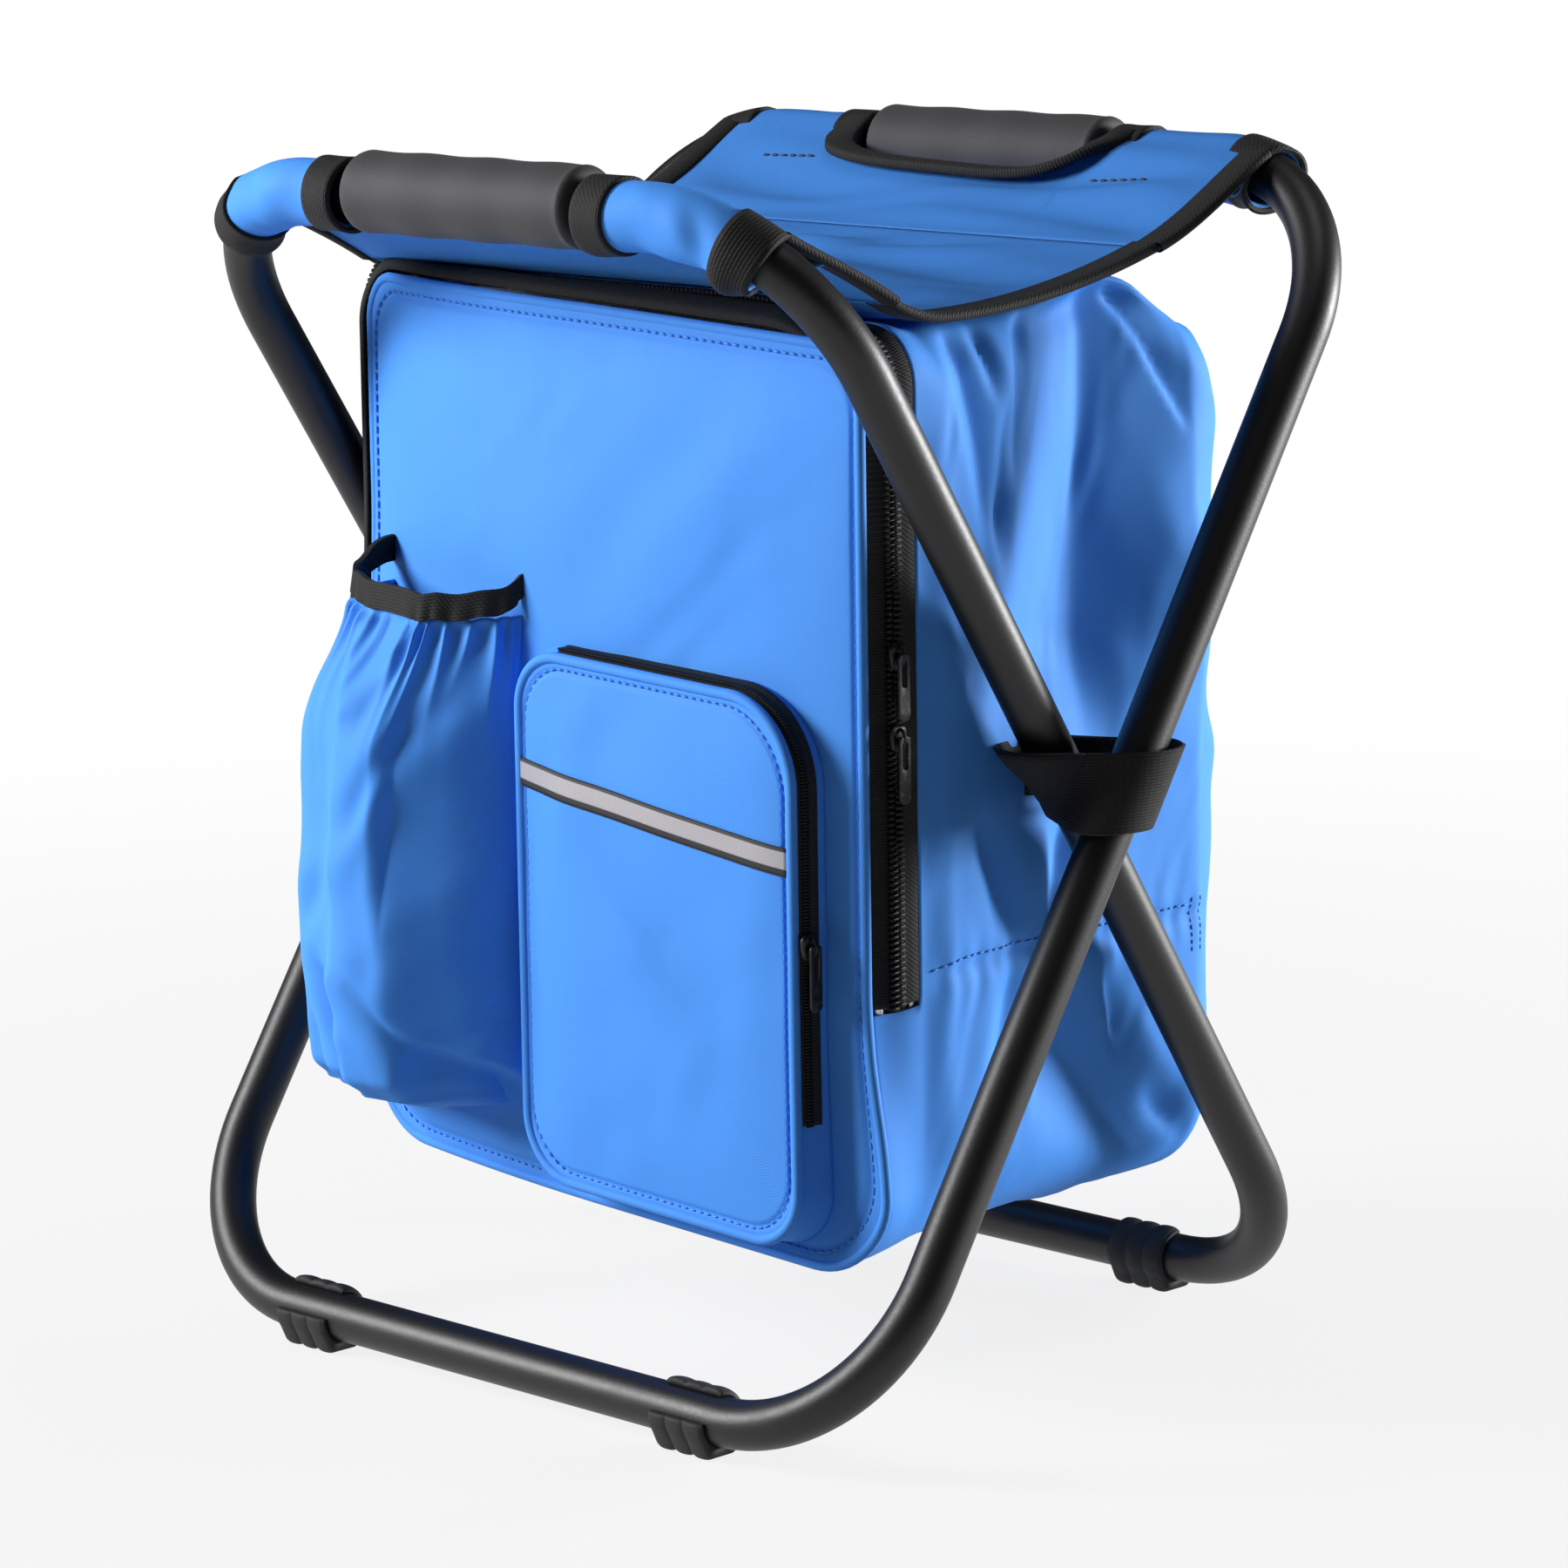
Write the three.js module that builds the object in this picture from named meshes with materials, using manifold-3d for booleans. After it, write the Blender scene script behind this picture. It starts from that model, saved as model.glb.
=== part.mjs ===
// Folding cooler stool: a soft insulated backpack that hangs from a sling seat
// between two crossed loops of bent tube. Millimetres, +Z up, front towards -Y.
// The floor is z = 0, and the pivot axis runs along X above the origin.
import * as THREE from 'three';
import { mergeVertices } from 'three/addons/utils/BufferGeometryUtils.js';
import Module from 'manifold-3d';

const wasm = await Module();
wasm.setup();

// Clearances
const GAP = 0.3; // between pieces that touch
const HOLE_CLEARANCE = 0.3; // round a rivet in its hole

// Crossed frame
const TUBE_D = 16;
const TUBE_WALL = 1.2;
const BEND_R = 60; // on the tube's centre line
const INNER_HALF_W = 139.4; // centre line of the inner loop's legs
const LEG_SPACING = 6.6; // between the inner and the outer leg at the pivot
const OPEN_HALF_ANGLE = THREE.MathUtils.degToRad(32.7); // of each loop from the vertical
const PIVOT_TO_TOP = 223.6;
const PIVOT_TO_BOTTOM = 225;
const JOINER_L = 70;

// Pivot hardware
const RIVET_D = 6;
const RIVET_HEAD_D = 13;
const RIVET_HEAD_H = 2.2;
const SPACER_D = 17;

// Feet
const FOOT_L = 24;
const FOOT_WALL = 2.6;
const SOLE_DROP = 4; // sole below the tube
const SOLE_W = 13;
const RIB_COUNT = 3;
const RIB_L = 5.6;
const RIB_DEPTH = 0.9;

// Foam grips
const GRIP_D = 26.6;
const GRIP_L = 104;
const GRIP_EDGE_R = 2.5;

// Sling seat
const SEAT_HALF_W = 118;
const SEAT_T = 2;
const SEAT_DIP = 36.5; // lowest line of the sling below the bars' axes
const SEAT_SPLIT_Y = 60; // where the sling leaves the bag
const SEAT_LOW_Y = 35; // lowest line of the sling ahead of the pivot axis
const SEAT_FRONT_RISE = 7.2; // from there to the front split
const SEAT_BACK_RISE = 14.4; // and to the back split
const HEM_WALL = 1.8;
const HEM_RISE = 5.5; // where the sling meets the hem, above the bar's axis
const HEM_INSET = 7; // and in from it
const CUT_MARGIN = 3; // grip cut-out beyond the grip's ends
const CUT_DEPTH = 27; // grip cut-out in from the bar's axis
const CUT_R = 12;

// Webbing loops at the crossings
const WEB_T = 1.6;
const LOOP_H = 25;
const LOOP_R = 9;
const LOOP_SLACK = 1.2;

// Bag
const BAG_FRONT = 74; // front face ahead of the pivot axis
const BAG_BACK = 87; // back face behind it
const BAG_H = 293.7;
const BAG_CORNER_LOW = 26;
const BAG_CORNER_HIGH = 18;
const BAG_FRONT_RISE = 2; // of the bag's top from the sling's lowest line to the front
const BACK_DROP = 10; // of its top from the sling's back split to the back
const BACK_SWELL = 11; // of the soft back behind its edge
const BACK_EDGE = 18; // width of the edge over which it swells
const CREASE_DEPTH = 6; // of the fold that hangs down the middle of each side
const CLOTH_T = 1.5;
const FOAM_T = 5;
const LINER_T = 0.8;

// Main zip and flap
const ZIP_BAND_W = 19;
const ZIP_END_RISE = 86; // lower ends of the zip above the bag's bottom
const PIPING_LIP = 1.2; // piped edge of the front beyond the zip tape
const FLAP_CLEARANCE = 8; // flap's fold above the pockets

// Zip pocket
const ZIP_POCKET_W = 125;
const ZIP_POCKET_H = 174;
const ZIP_POCKET_RISE = 8; // above the bag's bottom
const ZIP_POCKET_EDGE = 25; // from the bag's right edge
const ZIP_POCKET_DEPTH = 14;
const ZIP_POCKET_R = 20;
const POCKET_ZIP_W = 6;
const POCKET_ZIP_START = 20; // zip's start from the pocket's left edge
const POCKET_ZIP_DROP = 134; // zip's end below the pocket's top
const STRIP_H = 9;
const STRIP_T = 0.6;
const STRIP_DROP = 38; // reflective strip's top below the pocket's top

// Bottle pocket
const BOTTLE_EDGE = 8; // from the bag's left edge
const BOTTLE_SPACING = 2.5; // to the zip pocket
const BOTTLE_RISE = 28; // above the bag's bottom
const BOTTLE_H = 158;
const BOTTLE_MOUTH_DEPTH = 23;
const BOTTLE_BELLY_DEPTH = 42;
const BOTTLE_FOOT_DEPTH = 29;
const BOTTLE_FULLNESS = 0.7; // squareness of its plan, 1 for a half ellipse
const ELASTIC_H = 8;
const ELASTIC_T = 2.4;

// Zip sliders and pulls
const SLIDER_L = 9;
const SLIDER_W = 7;
const SLIDER_T = 2;
const PULL_L = 19;
const PULL_W = 5;
const PULL_T = 1;
const SLIDER_SPACING = 26; // between the two main sliders
const SLIDER_BELOW_FOLD = 4; // upper main slider's centre below the flap's fold
const POCKET_SLIDER_DROP = 76; // below the pocket's top

// Shoulder straps
const PAD_W = 48;
const PAD_T = 8;
const PAD_L = 165;
const PAD_TOP_X = 48;
const PAD_LOW_X = 82;
const PAD_TOP_DROP = 18; // below the bag's top
const STRAP_WEB_W = 25;
const STRAP_FOOT_RISE = 24; // above the bag's bottom
const STRAP_FOOT_X = 92;
const ADJUSTER_W = 34;
const ADJUSTER_H = 22;
const ADJUSTER_BAR = 4;

// Facet counts
const TUBE_SIDES = 16;
const BORE_SIDES = 10;
const BEND_STEPS = 7;
const ROUND_SIDES = 16;
const CORNER_STEPS = 3;
const STRAP_STEPS = 8;
const FOOT_STEPS = 10;
const HEM_SIDES = 12;
const SEAT_COLUMNS = 14;
const SEAT_ROWS = 4;
const BAG_ROWS = 4; // along the bag, under the sling
const POCKET_COLUMNS = 14;
const POCKET_ROWS = 6;

// Sizes that follow from the ones above
const TUBE_R = TUBE_D / 2;
const OUTER_HALF_W = INNER_HALF_W + TUBE_D + LEG_SPACING;
const SIN = Math.sin(OPEN_HALF_ANGLE);
const COS = Math.cos(OPEN_HALF_ANGLE);
const BAR_LOW_Z = TUBE_R + SOLE_DROP;
const BAR_LOW_Y = PIVOT_TO_BOTTOM * SIN;
const PIVOT_Z = BAR_LOW_Z + PIVOT_TO_BOTTOM * COS;
const BAR_Z = PIVOT_Z + PIVOT_TO_TOP * COS;
const BAR_Y = PIVOT_TO_TOP * SIN;
const HEM_R = TUBE_R + GAP + HEM_WALL;
const SEAT_Z = BAR_Z - SEAT_DIP;
const BAG_TOP = SEAT_Z - SEAT_T - GAP;
const BAG_BOTTOM = BAG_TOP - BAG_H;
const LOOP_INNER_X = INNER_HALF_W - TUBE_R - GAP - RIVET_HEAD_H - GAP;
const LOOP_OUTER_X = OUTER_HALF_W + TUBE_R + GAP + RIVET_HEAD_H + GAP;
const BAG_HALF_W = LOOP_INNER_X - WEB_T - GAP - PIPING_LIP;
const ZIP_POCKET_RIGHT = BAG_HALF_W - ZIP_POCKET_EDGE;
const ZIP_POCKET_LEFT = ZIP_POCKET_RIGHT - ZIP_POCKET_W;
const ZIP_POCKET_LOW = BAG_BOTTOM + ZIP_POCKET_RISE;
const ZIP_POCKET_TOP = ZIP_POCKET_LOW + ZIP_POCKET_H;
const BOTTLE_LEFT = BOTTLE_EDGE - BAG_HALF_W;
const BOTTLE_RIGHT = ZIP_POCKET_LEFT - BOTTLE_SPACING;
const BOTTLE_LOW = BAG_BOTTOM + BOTTLE_RISE;
const BOTTLE_TOP = BOTTLE_LOW + BOTTLE_H + GAP + ELASTIC_H;
const FOLD_Z = Math.max(BOTTLE_TOP, ZIP_POCKET_TOP) + FLAP_CLEARANCE;
const ZIP_END_Z = BAG_BOTTOM + ZIP_END_RISE;
const COVER_BACK = CLOTH_T - BAG_FRONT;
const TAPE_FRONT = COVER_BACK + GAP;
const TAPE_BACK = TAPE_FRONT + ZIP_BAND_W;
const ZIP_Y = TAPE_FRONT + ZIP_BAND_W / 2;
const FRONT_FOAM_BACK = TAPE_FRONT + FOAM_T;
const FRONT_LINER_FRONT = FRONT_FOAM_BACK + GAP;
const LINING_FRONT = FRONT_LINER_FRONT + LINER_T + GAP;
const POCKET_BACK = -BAG_FRONT - GAP;
const POCKET_RIM = POCKET_BACK - ZIP_POCKET_DEPTH;
const POCKET_FACE_BACK = POCKET_RIM - GAP;
const POCKET_FACE = POCKET_FACE_BACK - CLOTH_T;

// Materials
const material = (color, roughness, metalness = 0) =>
  new THREE.MeshStandardMaterial({ color, roughness, metalness });
const blackSteel = material(0x2a282c, 0.42, 0.35);
const zinc = material(0x8d8f92, 0.35, 0.9);
const blackPlastic = material(0x17171a, 0.5);
const rubber = material(0x151517, 0.8);
const gripFoam = material(0x5a585c, 0.9);
const blueCloth = material(0x2f7fe0, 0.8);
const webbing = material(0x101012, 0.85);
const padCloth = material(0x1f5fb8, 0.85);
const insulationFoam = material(0xe4e4de, 0.95);
const foil = material(0xc8ccd0, 0.3, 0.8);
const zipTape = material(0x0f0f11, 0.75);
const zipMetal = material(0x1c1c1e, 0.35, 0.8);
const reflector = material(0xc4c5c8, 0.35, 0.2);

// Drops all but positions, shares vertices and turns the faces out.
function closed(source) {
  const plain = source.clone();
  plain.deleteAttribute('normal');
  plain.deleteAttribute('uv');
  const shared = mergeVertices(plain, 1e-4);
  const position = shared.attributes.position;
  const corners = [0, 1, 2].map(() => new THREE.Vector3());
  const faces = [];
  let volume = 0;
  for (let i = 0; i < shared.index.count; i += 3) {
    const face = [0, 1, 2].map((k) => shared.index.getX(i + k));
    if (new Set(face).size < 3) continue;
    face.forEach((index, k) => corners[k].fromBufferAttribute(position, index));
    volume += corners[0].dot(corners[1].clone().cross(corners[2]));
    faces.push(face);
  }
  if (volume < 0) faces.forEach((face) => face.reverse());
  shared.setIndex(faces.flat());
  return shared;
}

// A closed geometry as a solid for joining and cutting.
function solid(geometry) {
  const shell = closed(geometry);
  return new wasm.Manifold(
    new wasm.Mesh({
      numProp: 3,
      vertProperties: new Float32Array(shell.attributes.position.array),
      triVerts: new Uint32Array(shell.index.array),
    }),
  );
}

// A solid back as a geometry.
function geometryOf(body) {
  const { vertProperties, triVerts } = body.getMesh();
  const geometry = new THREE.BufferGeometry();
  geometry.setAttribute('position', new THREE.BufferAttribute(vertProperties, 3));
  geometry.setIndex(Array.from(triVerts));
  return geometry;
}

const join = (...geometries) => geometryOf(geometries.map(solid).reduce((a, b) => a.add(b)));
const cut = (geometry, ...tools) =>
  geometryOf(tools.map(solid).reduce((body, tool) => body.subtract(tool), solid(geometry)));
const common = (geometry, other) => geometryOf(solid(geometry).intersect(solid(other)));

// Moves every vertex by a function of its place.
function warp(geometry, place) {
  const position = geometry.attributes.position;
  const point = new THREE.Vector3();
  for (let i = 0; i < position.count; i++) {
    place(point.fromBufferAttribute(position, i));
    position.setXYZ(i, point.x, point.y, point.z);
  }
  return geometry;
}

// A box by its low and high corners.
function block(low, high) {
  const size = high.map((value, k) => value - low[k]);
  const box = new THREE.BoxGeometry(...size);
  return box.translate(...high.map((value, k) => (value + low[k]) / 2));
}

// A rounded rectangle with its own radius at the low and at the high corners.
function roundedOutline(left, right, low, high, lowR, highR) {
  const quarter = Math.PI / 2;
  const shape = new THREE.Shape();
  shape.moveTo(left + lowR, low);
  shape.lineTo(right - lowR, low);
  if (lowR > 0) shape.absarc(right - lowR, low + lowR, lowR, -quarter, 0);
  shape.lineTo(right, high - highR);
  if (highR > 0) shape.absarc(right - highR, high - highR, highR, 0, quarter);
  shape.lineTo(left + highR, high);
  if (highR > 0) shape.absarc(left + highR, high - highR, highR, quarter, 2 * quarter);
  shape.lineTo(left, low + lowR);
  if (lowR > 0) shape.absarc(left + lowR, low + lowR, lowR, 2 * quarter, 3 * quarter);
  return shape;
}

// An upright sheet: an outline in X and Z, extruded along Y.
function upright(shape, front, back, steps = 1) {
  const options = { depth: back - front, steps, bevelEnabled: false, curveSegments: CORNER_STEPS };
  const sheet = new THREE.ExtrudeGeometry(shape, options);
  return sheet.rotateX(Math.PI / 2).translate(0, back, 0);
}

// A flat sheet: an outline in X and Y, extruded upwards.
function level(shape, low, high) {
  const options = { depth: high - low, bevelEnabled: false, curveSegments: CORNER_STEPS };
  return new THREE.ExtrudeGeometry(shape, options).translate(0, 0, low);
}

// A section in Y and Z, extruded along X from left to right.
function alongX(shape, left, right) {
  const options = { depth: right - left, bevelEnabled: false, curveSegments: CORNER_STEPS };
  const bar = new THREE.ExtrudeGeometry(shape, options).translate(0, 0, left);
  const axes = new THREE.Matrix4().makeBasis(
    new THREE.Vector3(0, 1, 0),
    new THREE.Vector3(0, 0, 1),
    new THREE.Vector3(1, 0, 0),
  );
  return bar.applyMatrix4(axes);
}

// A profile of [radius, x] points, revolved about the X axis.
function revolved(profile, sides = ROUND_SIDES) {
  const points = profile.map(([radius, x]) => new THREE.Vector2(radius, x));
  return new THREE.LatheGeometry(points, sides).rotateZ(-Math.PI / 2);
}

function rod(radius, left, right, sides = ROUND_SIDES) {
  return revolved([[0, left], [radius, left], [radius, right], [0, right]], sides);
}

function disc(radius, sides, boreRadius = 0, boreSides = sides) {
  const ring = (r, n) =>
    Array.from({ length: n }, (_, i) => {
      const angle = (2 * Math.PI * i) / n;
      return new THREE.Vector2(r * Math.cos(angle), r * Math.sin(angle));
    });
  const shape = new THREE.Shape(ring(radius, sides));
  if (boreRadius > 0) shape.holes.push(new THREE.Path(ring(boreRadius, boreSides)));
  return shape;
}

// A tube's centre line, with a station at each end of a straight run and several round a bend.
class BentPath extends THREE.Curve {
  constructor(stations) {
    super();
    this.stations = stations;
  }

  at(u) {
    return this.stations[Math.round(u * (this.stations.length - 1))];
  }

  getPointAt(u, target = new THREE.Vector3()) {
    return target.copy(this.at(u).point);
  }

  getTangentAt(u, target = new THREE.Vector3()) {
    return target.copy(this.at(u).tangent);
  }

  sweep(shape) {
    return new THREE.ExtrudeGeometry(shape, { extrudePath: this, steps: this.stations.length - 1 });
  }
}

const station = (x, z, dx, dz) => ({
  point: new THREE.Vector3(x, 0, z),
  tangent: new THREE.Vector3(dx, 0, dz),
});

// Stations of a bend about (x, z); the angle runs clockwise from the top of the circle.
function bend(x, z, from, to) {
  return Array.from({ length: BEND_STEPS + 1 }, (_, i) => {
    const angle = from + ((to - from) * i) / BEND_STEPS;
    const c = Math.cos(angle);
    const s = Math.sin(angle);
    return station(x + BEND_R * s, z + BEND_R * c, c, -s);
  });
}

// One loop of tube in its own plane, from the butt joint on its top bar and round again.
function loopPath(halfW) {
  const x = halfW - BEND_R;
  const top = PIVOT_TO_TOP - BEND_R;
  const low = BEND_R - PIVOT_TO_BOTTOM;
  const quarter = Math.PI / 2;
  return new BentPath([
    station(GAP, PIVOT_TO_TOP, 1, 0),
    ...bend(x, top, 0, quarter),
    ...bend(x, low, quarter, 2 * quarter),
    ...bend(-x, low, 2 * quarter, 3 * quarter),
    ...bend(-x, top, 3 * quarter, 4 * quarter),
    station(-GAP, PIVOT_TO_TOP, 1, 0),
  ]);
}

// The top bar's centre line from -reach to reach, following the bends where it runs into them.
function topBarPath(halfW, reach) {
  const straight = halfW - BEND_R;
  const top = PIVOT_TO_TOP - BEND_R;
  if (reach <= straight) {
    return new BentPath([station(-reach, PIVOT_TO_TOP, 1, 0), station(reach, PIVOT_TO_TOP, 1, 0)]);
  }
  const angle = Math.asin(Math.min((reach - straight) / BEND_R, 1));
  return new BentPath([...bend(-straight, top, -angle, 0), ...bend(straight, top, 0, angle)]);
}

// How far a top bar has bent down along its leg at a distance x from the middle.
function bendDrop(halfW, x) {
  const past = Math.min(Math.max(Math.abs(x) - (halfW - BEND_R), 0), BEND_R);
  return BEND_R - Math.sqrt(BEND_R * BEND_R - past * past);
}

const stool = new THREE.Group();
const innerFrame = new THREE.Group();
innerFrame.position.z = PIVOT_Z;
innerFrame.rotation.x = OPEN_HALF_ANGLE;
const outerFrame = new THREE.Group();
outerFrame.position.z = PIVOT_Z;
outerFrame.rotation.x = -OPEN_HALF_ANGLE;
stool.add(innerFrame, outerFrame);
[innerFrame, outerFrame].forEach((frame) => frame.updateMatrix());

function piece(name, geometry, look, parent = stool) {
  const shell = closed(geometry);
  shell.computeVertexNormals();
  const mesh = new THREE.Mesh(shell, look);
  mesh.name = name;
  parent.add(mesh);
}

// Bent tube loops, drilled for the rivets, with a joiner plug across each butt joint.
const rivetHole = rod(RIVET_D / 2 + HOLE_CLEARANCE, -OUTER_HALF_W - TUBE_D, OUTER_HALF_W + TUBE_D);
const tubeSection = disc(TUBE_R, TUBE_SIDES, TUBE_R - TUBE_WALL, BORE_SIDES);
const plugR = (TUBE_R - TUBE_WALL) * Math.cos(Math.PI / BORE_SIDES) - GAP;
const loops = [
  { name: 'inner', halfW: INNER_HALF_W, frame: innerFrame },
  { name: 'outer', halfW: OUTER_HALF_W, frame: outerFrame },
];
for (const { name, halfW, frame } of loops) {
  piece(`${name}_tube`, cut(loopPath(halfW).sweep(tubeSection), rivetHole), blackSteel, frame);
  const plug = rod(plugR, -JOINER_L / 2, JOINER_L / 2).translate(0, 0, PIVOT_TO_TOP);
  piece(`${name}_joiner`, plug, zinc, frame);
}

// Rivets through both legs, and the spacers that keep the legs apart.
const rivetR = RIVET_D / 2;
const headR = RIVET_HEAD_D / 2;
const innerHead = INNER_HALF_W - TUBE_R - GAP;
const outerHead = OUTER_HALF_W + TUBE_R + GAP;
const headShoulder = RIVET_HEAD_H / 2;
const rivetProfile = [
  [0, innerHead - RIVET_HEAD_H],
  [headR - headShoulder, innerHead - RIVET_HEAD_H],
  [headR, innerHead - headShoulder],
  [headR, innerHead],
  [rivetR, innerHead],
  [rivetR, outerHead],
  [headR, outerHead],
  [headR, outerHead + headShoulder],
  [headR - headShoulder, outerHead + RIVET_HEAD_H],
  [0, outerHead + RIVET_HEAD_H],
];
const spacerLeft = INNER_HALF_W + TUBE_R + GAP;
const spacerRight = OUTER_HALF_W - TUBE_R - GAP;
const spacerBore = rivetR + HOLE_CLEARANCE;
const spacerProfile = [
  [spacerBore, spacerLeft],
  [SPACER_D / 2, spacerLeft],
  [SPACER_D / 2, spacerRight],
  [spacerBore, spacerRight],
  [spacerBore, spacerLeft],
];
for (const [side, turn] of [['right', 0], ['left', Math.PI]]) {
  piece(`pivot_rivet_${side}`, revolved(rivetProfile).rotateZ(turn), zinc, outerFrame);
  piece(`pivot_spacer_${side}`, revolved(spacerProfile).rotateZ(turn), blackPlastic, outerFrame);
}

// Foam grips on the straight middle of the top bars.
const gripR = GRIP_D / 2;
const gripBore = TUBE_R + GAP;
const gripEnd = GRIP_L / 2;
const gripProfile = [
  [gripBore, -gripEnd],
  [gripR - GRIP_EDGE_R, -gripEnd],
  [gripR, GRIP_EDGE_R - gripEnd],
  [gripR, gripEnd - GRIP_EDGE_R],
  [gripR - GRIP_EDGE_R, gripEnd],
  [gripBore, gripEnd],
  [gripBore, -gripEnd],
];
for (const { name, frame } of loops) {
  piece(`${name}_grip`, revolved(gripProfile).translate(0, 0, PIVOT_TO_TOP), gripFoam, frame);
}

// Ribbed rubber feet at the ends of the bottom bars' straight runs, each with a flat sole.
function footSection(inset) {
  const radius = TUBE_R + FOOT_WALL - inset;
  const flank = Math.PI / 6;
  const shape = new THREE.Shape();
  const turn = Math.PI + 2 * flank;
  for (let i = 0; i <= FOOT_STEPS; i++) {
    const angle = (turn * i) / FOOT_STEPS - flank;
    const place = [radius * Math.cos(angle), radius * Math.sin(angle)];
    if (i === 0) shape.moveTo(...place);
    else shape.lineTo(...place);
  }
  shape.lineTo(inset - SOLE_W / 2, inset - BAR_LOW_Z);
  shape.lineTo(SOLE_W / 2 - inset, inset - BAR_LOW_Z);
  return shape;
}

function foot(x, y) {
  const ends = [x - FOOT_L / 2, x + FOOT_L / 2];
  const pitch = (FOOT_L - RIB_L) / (RIB_COUNT - 1);
  const ribs = Array.from({ length: RIB_COUNT }, (_, i) => {
    const left = ends[0] + i * pitch;
    return alongX(footSection(0), left, left + RIB_L);
  });
  const sleeve = join(alongX(footSection(RIB_DEPTH), ...ends), ...ribs);
  const bore = rod(TUBE_R + GAP, ends[0] - FOOT_L, ends[1] + FOOT_L);
  return cut(sleeve, bore).translate(0, y, BAR_LOW_Z);
}

const feet = [
  { row: 'rear', halfW: INNER_HALF_W, y: BAR_LOW_Y },
  { row: 'front', halfW: OUTER_HALF_W, y: -BAR_LOW_Y },
];
for (const { row, halfW, y } of feet) {
  const x = halfW - BEND_R - FOOT_L / 2;
  piece(`${row}_foot_right`, foot(x, y), rubber);
  piece(`${row}_foot_left`, foot(-x, y), rubber);
}

// Sling seat: the centre lies on the bag, and each half climbs to a hem round its bar.
function seatRise(y) {
  const past = y + SEAT_LOW_Y;
  const share = past / (past < 0 ? SEAT_SPLIT_Y - SEAT_LOW_Y : SEAT_SPLIT_Y + SEAT_LOW_Y);
  return (past < 0 ? SEAT_FRONT_RISE : SEAT_BACK_RISE) * share * share;
}

// Rows that the sling and the bag under it share, from the lowest line to the back split.
const bagRow = (k) => THREE.MathUtils.lerp(-SEAT_LOW_Y, SEAT_SPLIT_Y, k / BAG_ROWS);
const bagRows = Array.from({ length: BAG_ROWS + 1 }, (_, k) => bagRow(k));

const centreEnd = SEAT_SPLIT_Y - GAP / 2;
const centreRows = [-centreEnd, -(centreEnd + SEAT_LOW_Y) / 2, ...bagRows.slice(0, -1), centreEnd];
const centreLast = centreRows.length - 1;
const seatCentre = new THREE.BoxGeometry(2 * SEAT_HALF_W, centreLast, SEAT_T, 1, centreLast, 1);
piece('seat_centre', warp(seatCentre, (p) => {
  p.y = centreRows[Math.round(p.y + centreLast / 2)];
  p.z += SEAT_Z - SEAT_T / 2 + seatRise(p.y);
}), blueCloth);

function seatHalf({ halfW, frame }, side) {
  const start = SEAT_SPLIT_Y + GAP / 2;
  const reach = BAR_Y - HEM_INSET - start;
  const startZ = SEAT_Z + seatRise(side * start);
  const slope = (2 * seatRise(side * start)) / (start + side * SEAT_LOW_Y);
  const climb = (BAR_Z + HEM_RISE - startZ - slope * reach) / (reach * reach);
  const sheet = new THREE.BoxGeometry(2 * SEAT_HALF_W, 1, SEAT_T, SEAT_COLUMNS, SEAT_ROWS, 1);
  warp(sheet, (p) => {
    const share = p.y + 0.5;
    const run = share * reach;
    const drop = share * bendDrop(halfW, p.x);
    p.y = side * (start + run - SIN * drop);
    p.z += startZ + slope * run + climb * run * run - SEAT_T / 2 - COS * drop;
  });
  const hem = topBarPath(halfW, SEAT_HALF_W).sweep(disc(HEM_R, HEM_SIDES)).applyMatrix4(frame.matrix);
  const bore = loopPath(halfW).sweep(disc(TUBE_R + GAP, TUBE_SIDES)).applyMatrix4(frame.matrix);
  const butt = rod(TUBE_R, -GRIP_L / 2, GRIP_L / 2).translate(0, side * BAR_Y, BAR_Z);
  const cutX = GRIP_L / 2 + CUT_MARGIN;
  const near = BAR_Y - CUT_DEPTH;
  const far = BAR_Y + GRIP_D;
  const slot = roundedOutline(-cutX, cutX, near, far, CUT_R, CUT_R);
  const window = level(slot, BAR_Z - GRIP_D, BAR_Z + GRIP_D);
  if (side < 0) window.rotateZ(Math.PI);
  return cut(join(sheet, hem), bore, butt, window);
}

piece('seat_front_half', seatHalf(loops[0], -1), blueCloth);
piece('seat_back_half', seatHalf(loops[1], 1), blueCloth);

// Webbing loops round the crossed legs, sewn to the bag's sides.
const loopHalfY = (LOOP_H / 2) * Math.tan(OPEN_HALF_ANGLE) + TUBE_R / COS + LOOP_SLACK;
const loopBand = cut(
  level(
    roundedOutline(
      LOOP_INNER_X - WEB_T,
      LOOP_OUTER_X + WEB_T,
      -loopHalfY - WEB_T,
      loopHalfY + WEB_T,
      LOOP_R + WEB_T,
      LOOP_R + WEB_T,
    ),
    PIVOT_Z - LOOP_H / 2,
    PIVOT_Z + LOOP_H / 2,
  ),
  level(
    roundedOutline(LOOP_INNER_X, LOOP_OUTER_X, -loopHalfY, loopHalfY, LOOP_R, LOOP_R),
    PIVOT_Z - LOOP_H,
    PIVOT_Z + LOOP_H,
  ),
);
piece('crossing_loop_right', loopBand.clone(), webbing);
piece('crossing_loop_left', loopBand.clone().rotateZ(Math.PI), webbing);

// The bag's outline seen from the front, drawn in by an inset, between two heights.
function bagOutline(inset, low = BAG_BOTTOM, high = BAG_TOP) {
  const halfW = BAG_HALF_W - inset;
  const lowR = low === BAG_BOTTOM ? BAG_CORNER_LOW - inset : 0;
  const highR = high === BAG_TOP ? BAG_CORNER_HIGH - inset : 0;
  const bottom = low === BAG_BOTTOM ? low + inset : low;
  const top = high === BAG_TOP ? high - inset : high;
  return roundedOutline(-halfW, halfW, bottom, top, lowR, highR);
}

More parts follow.
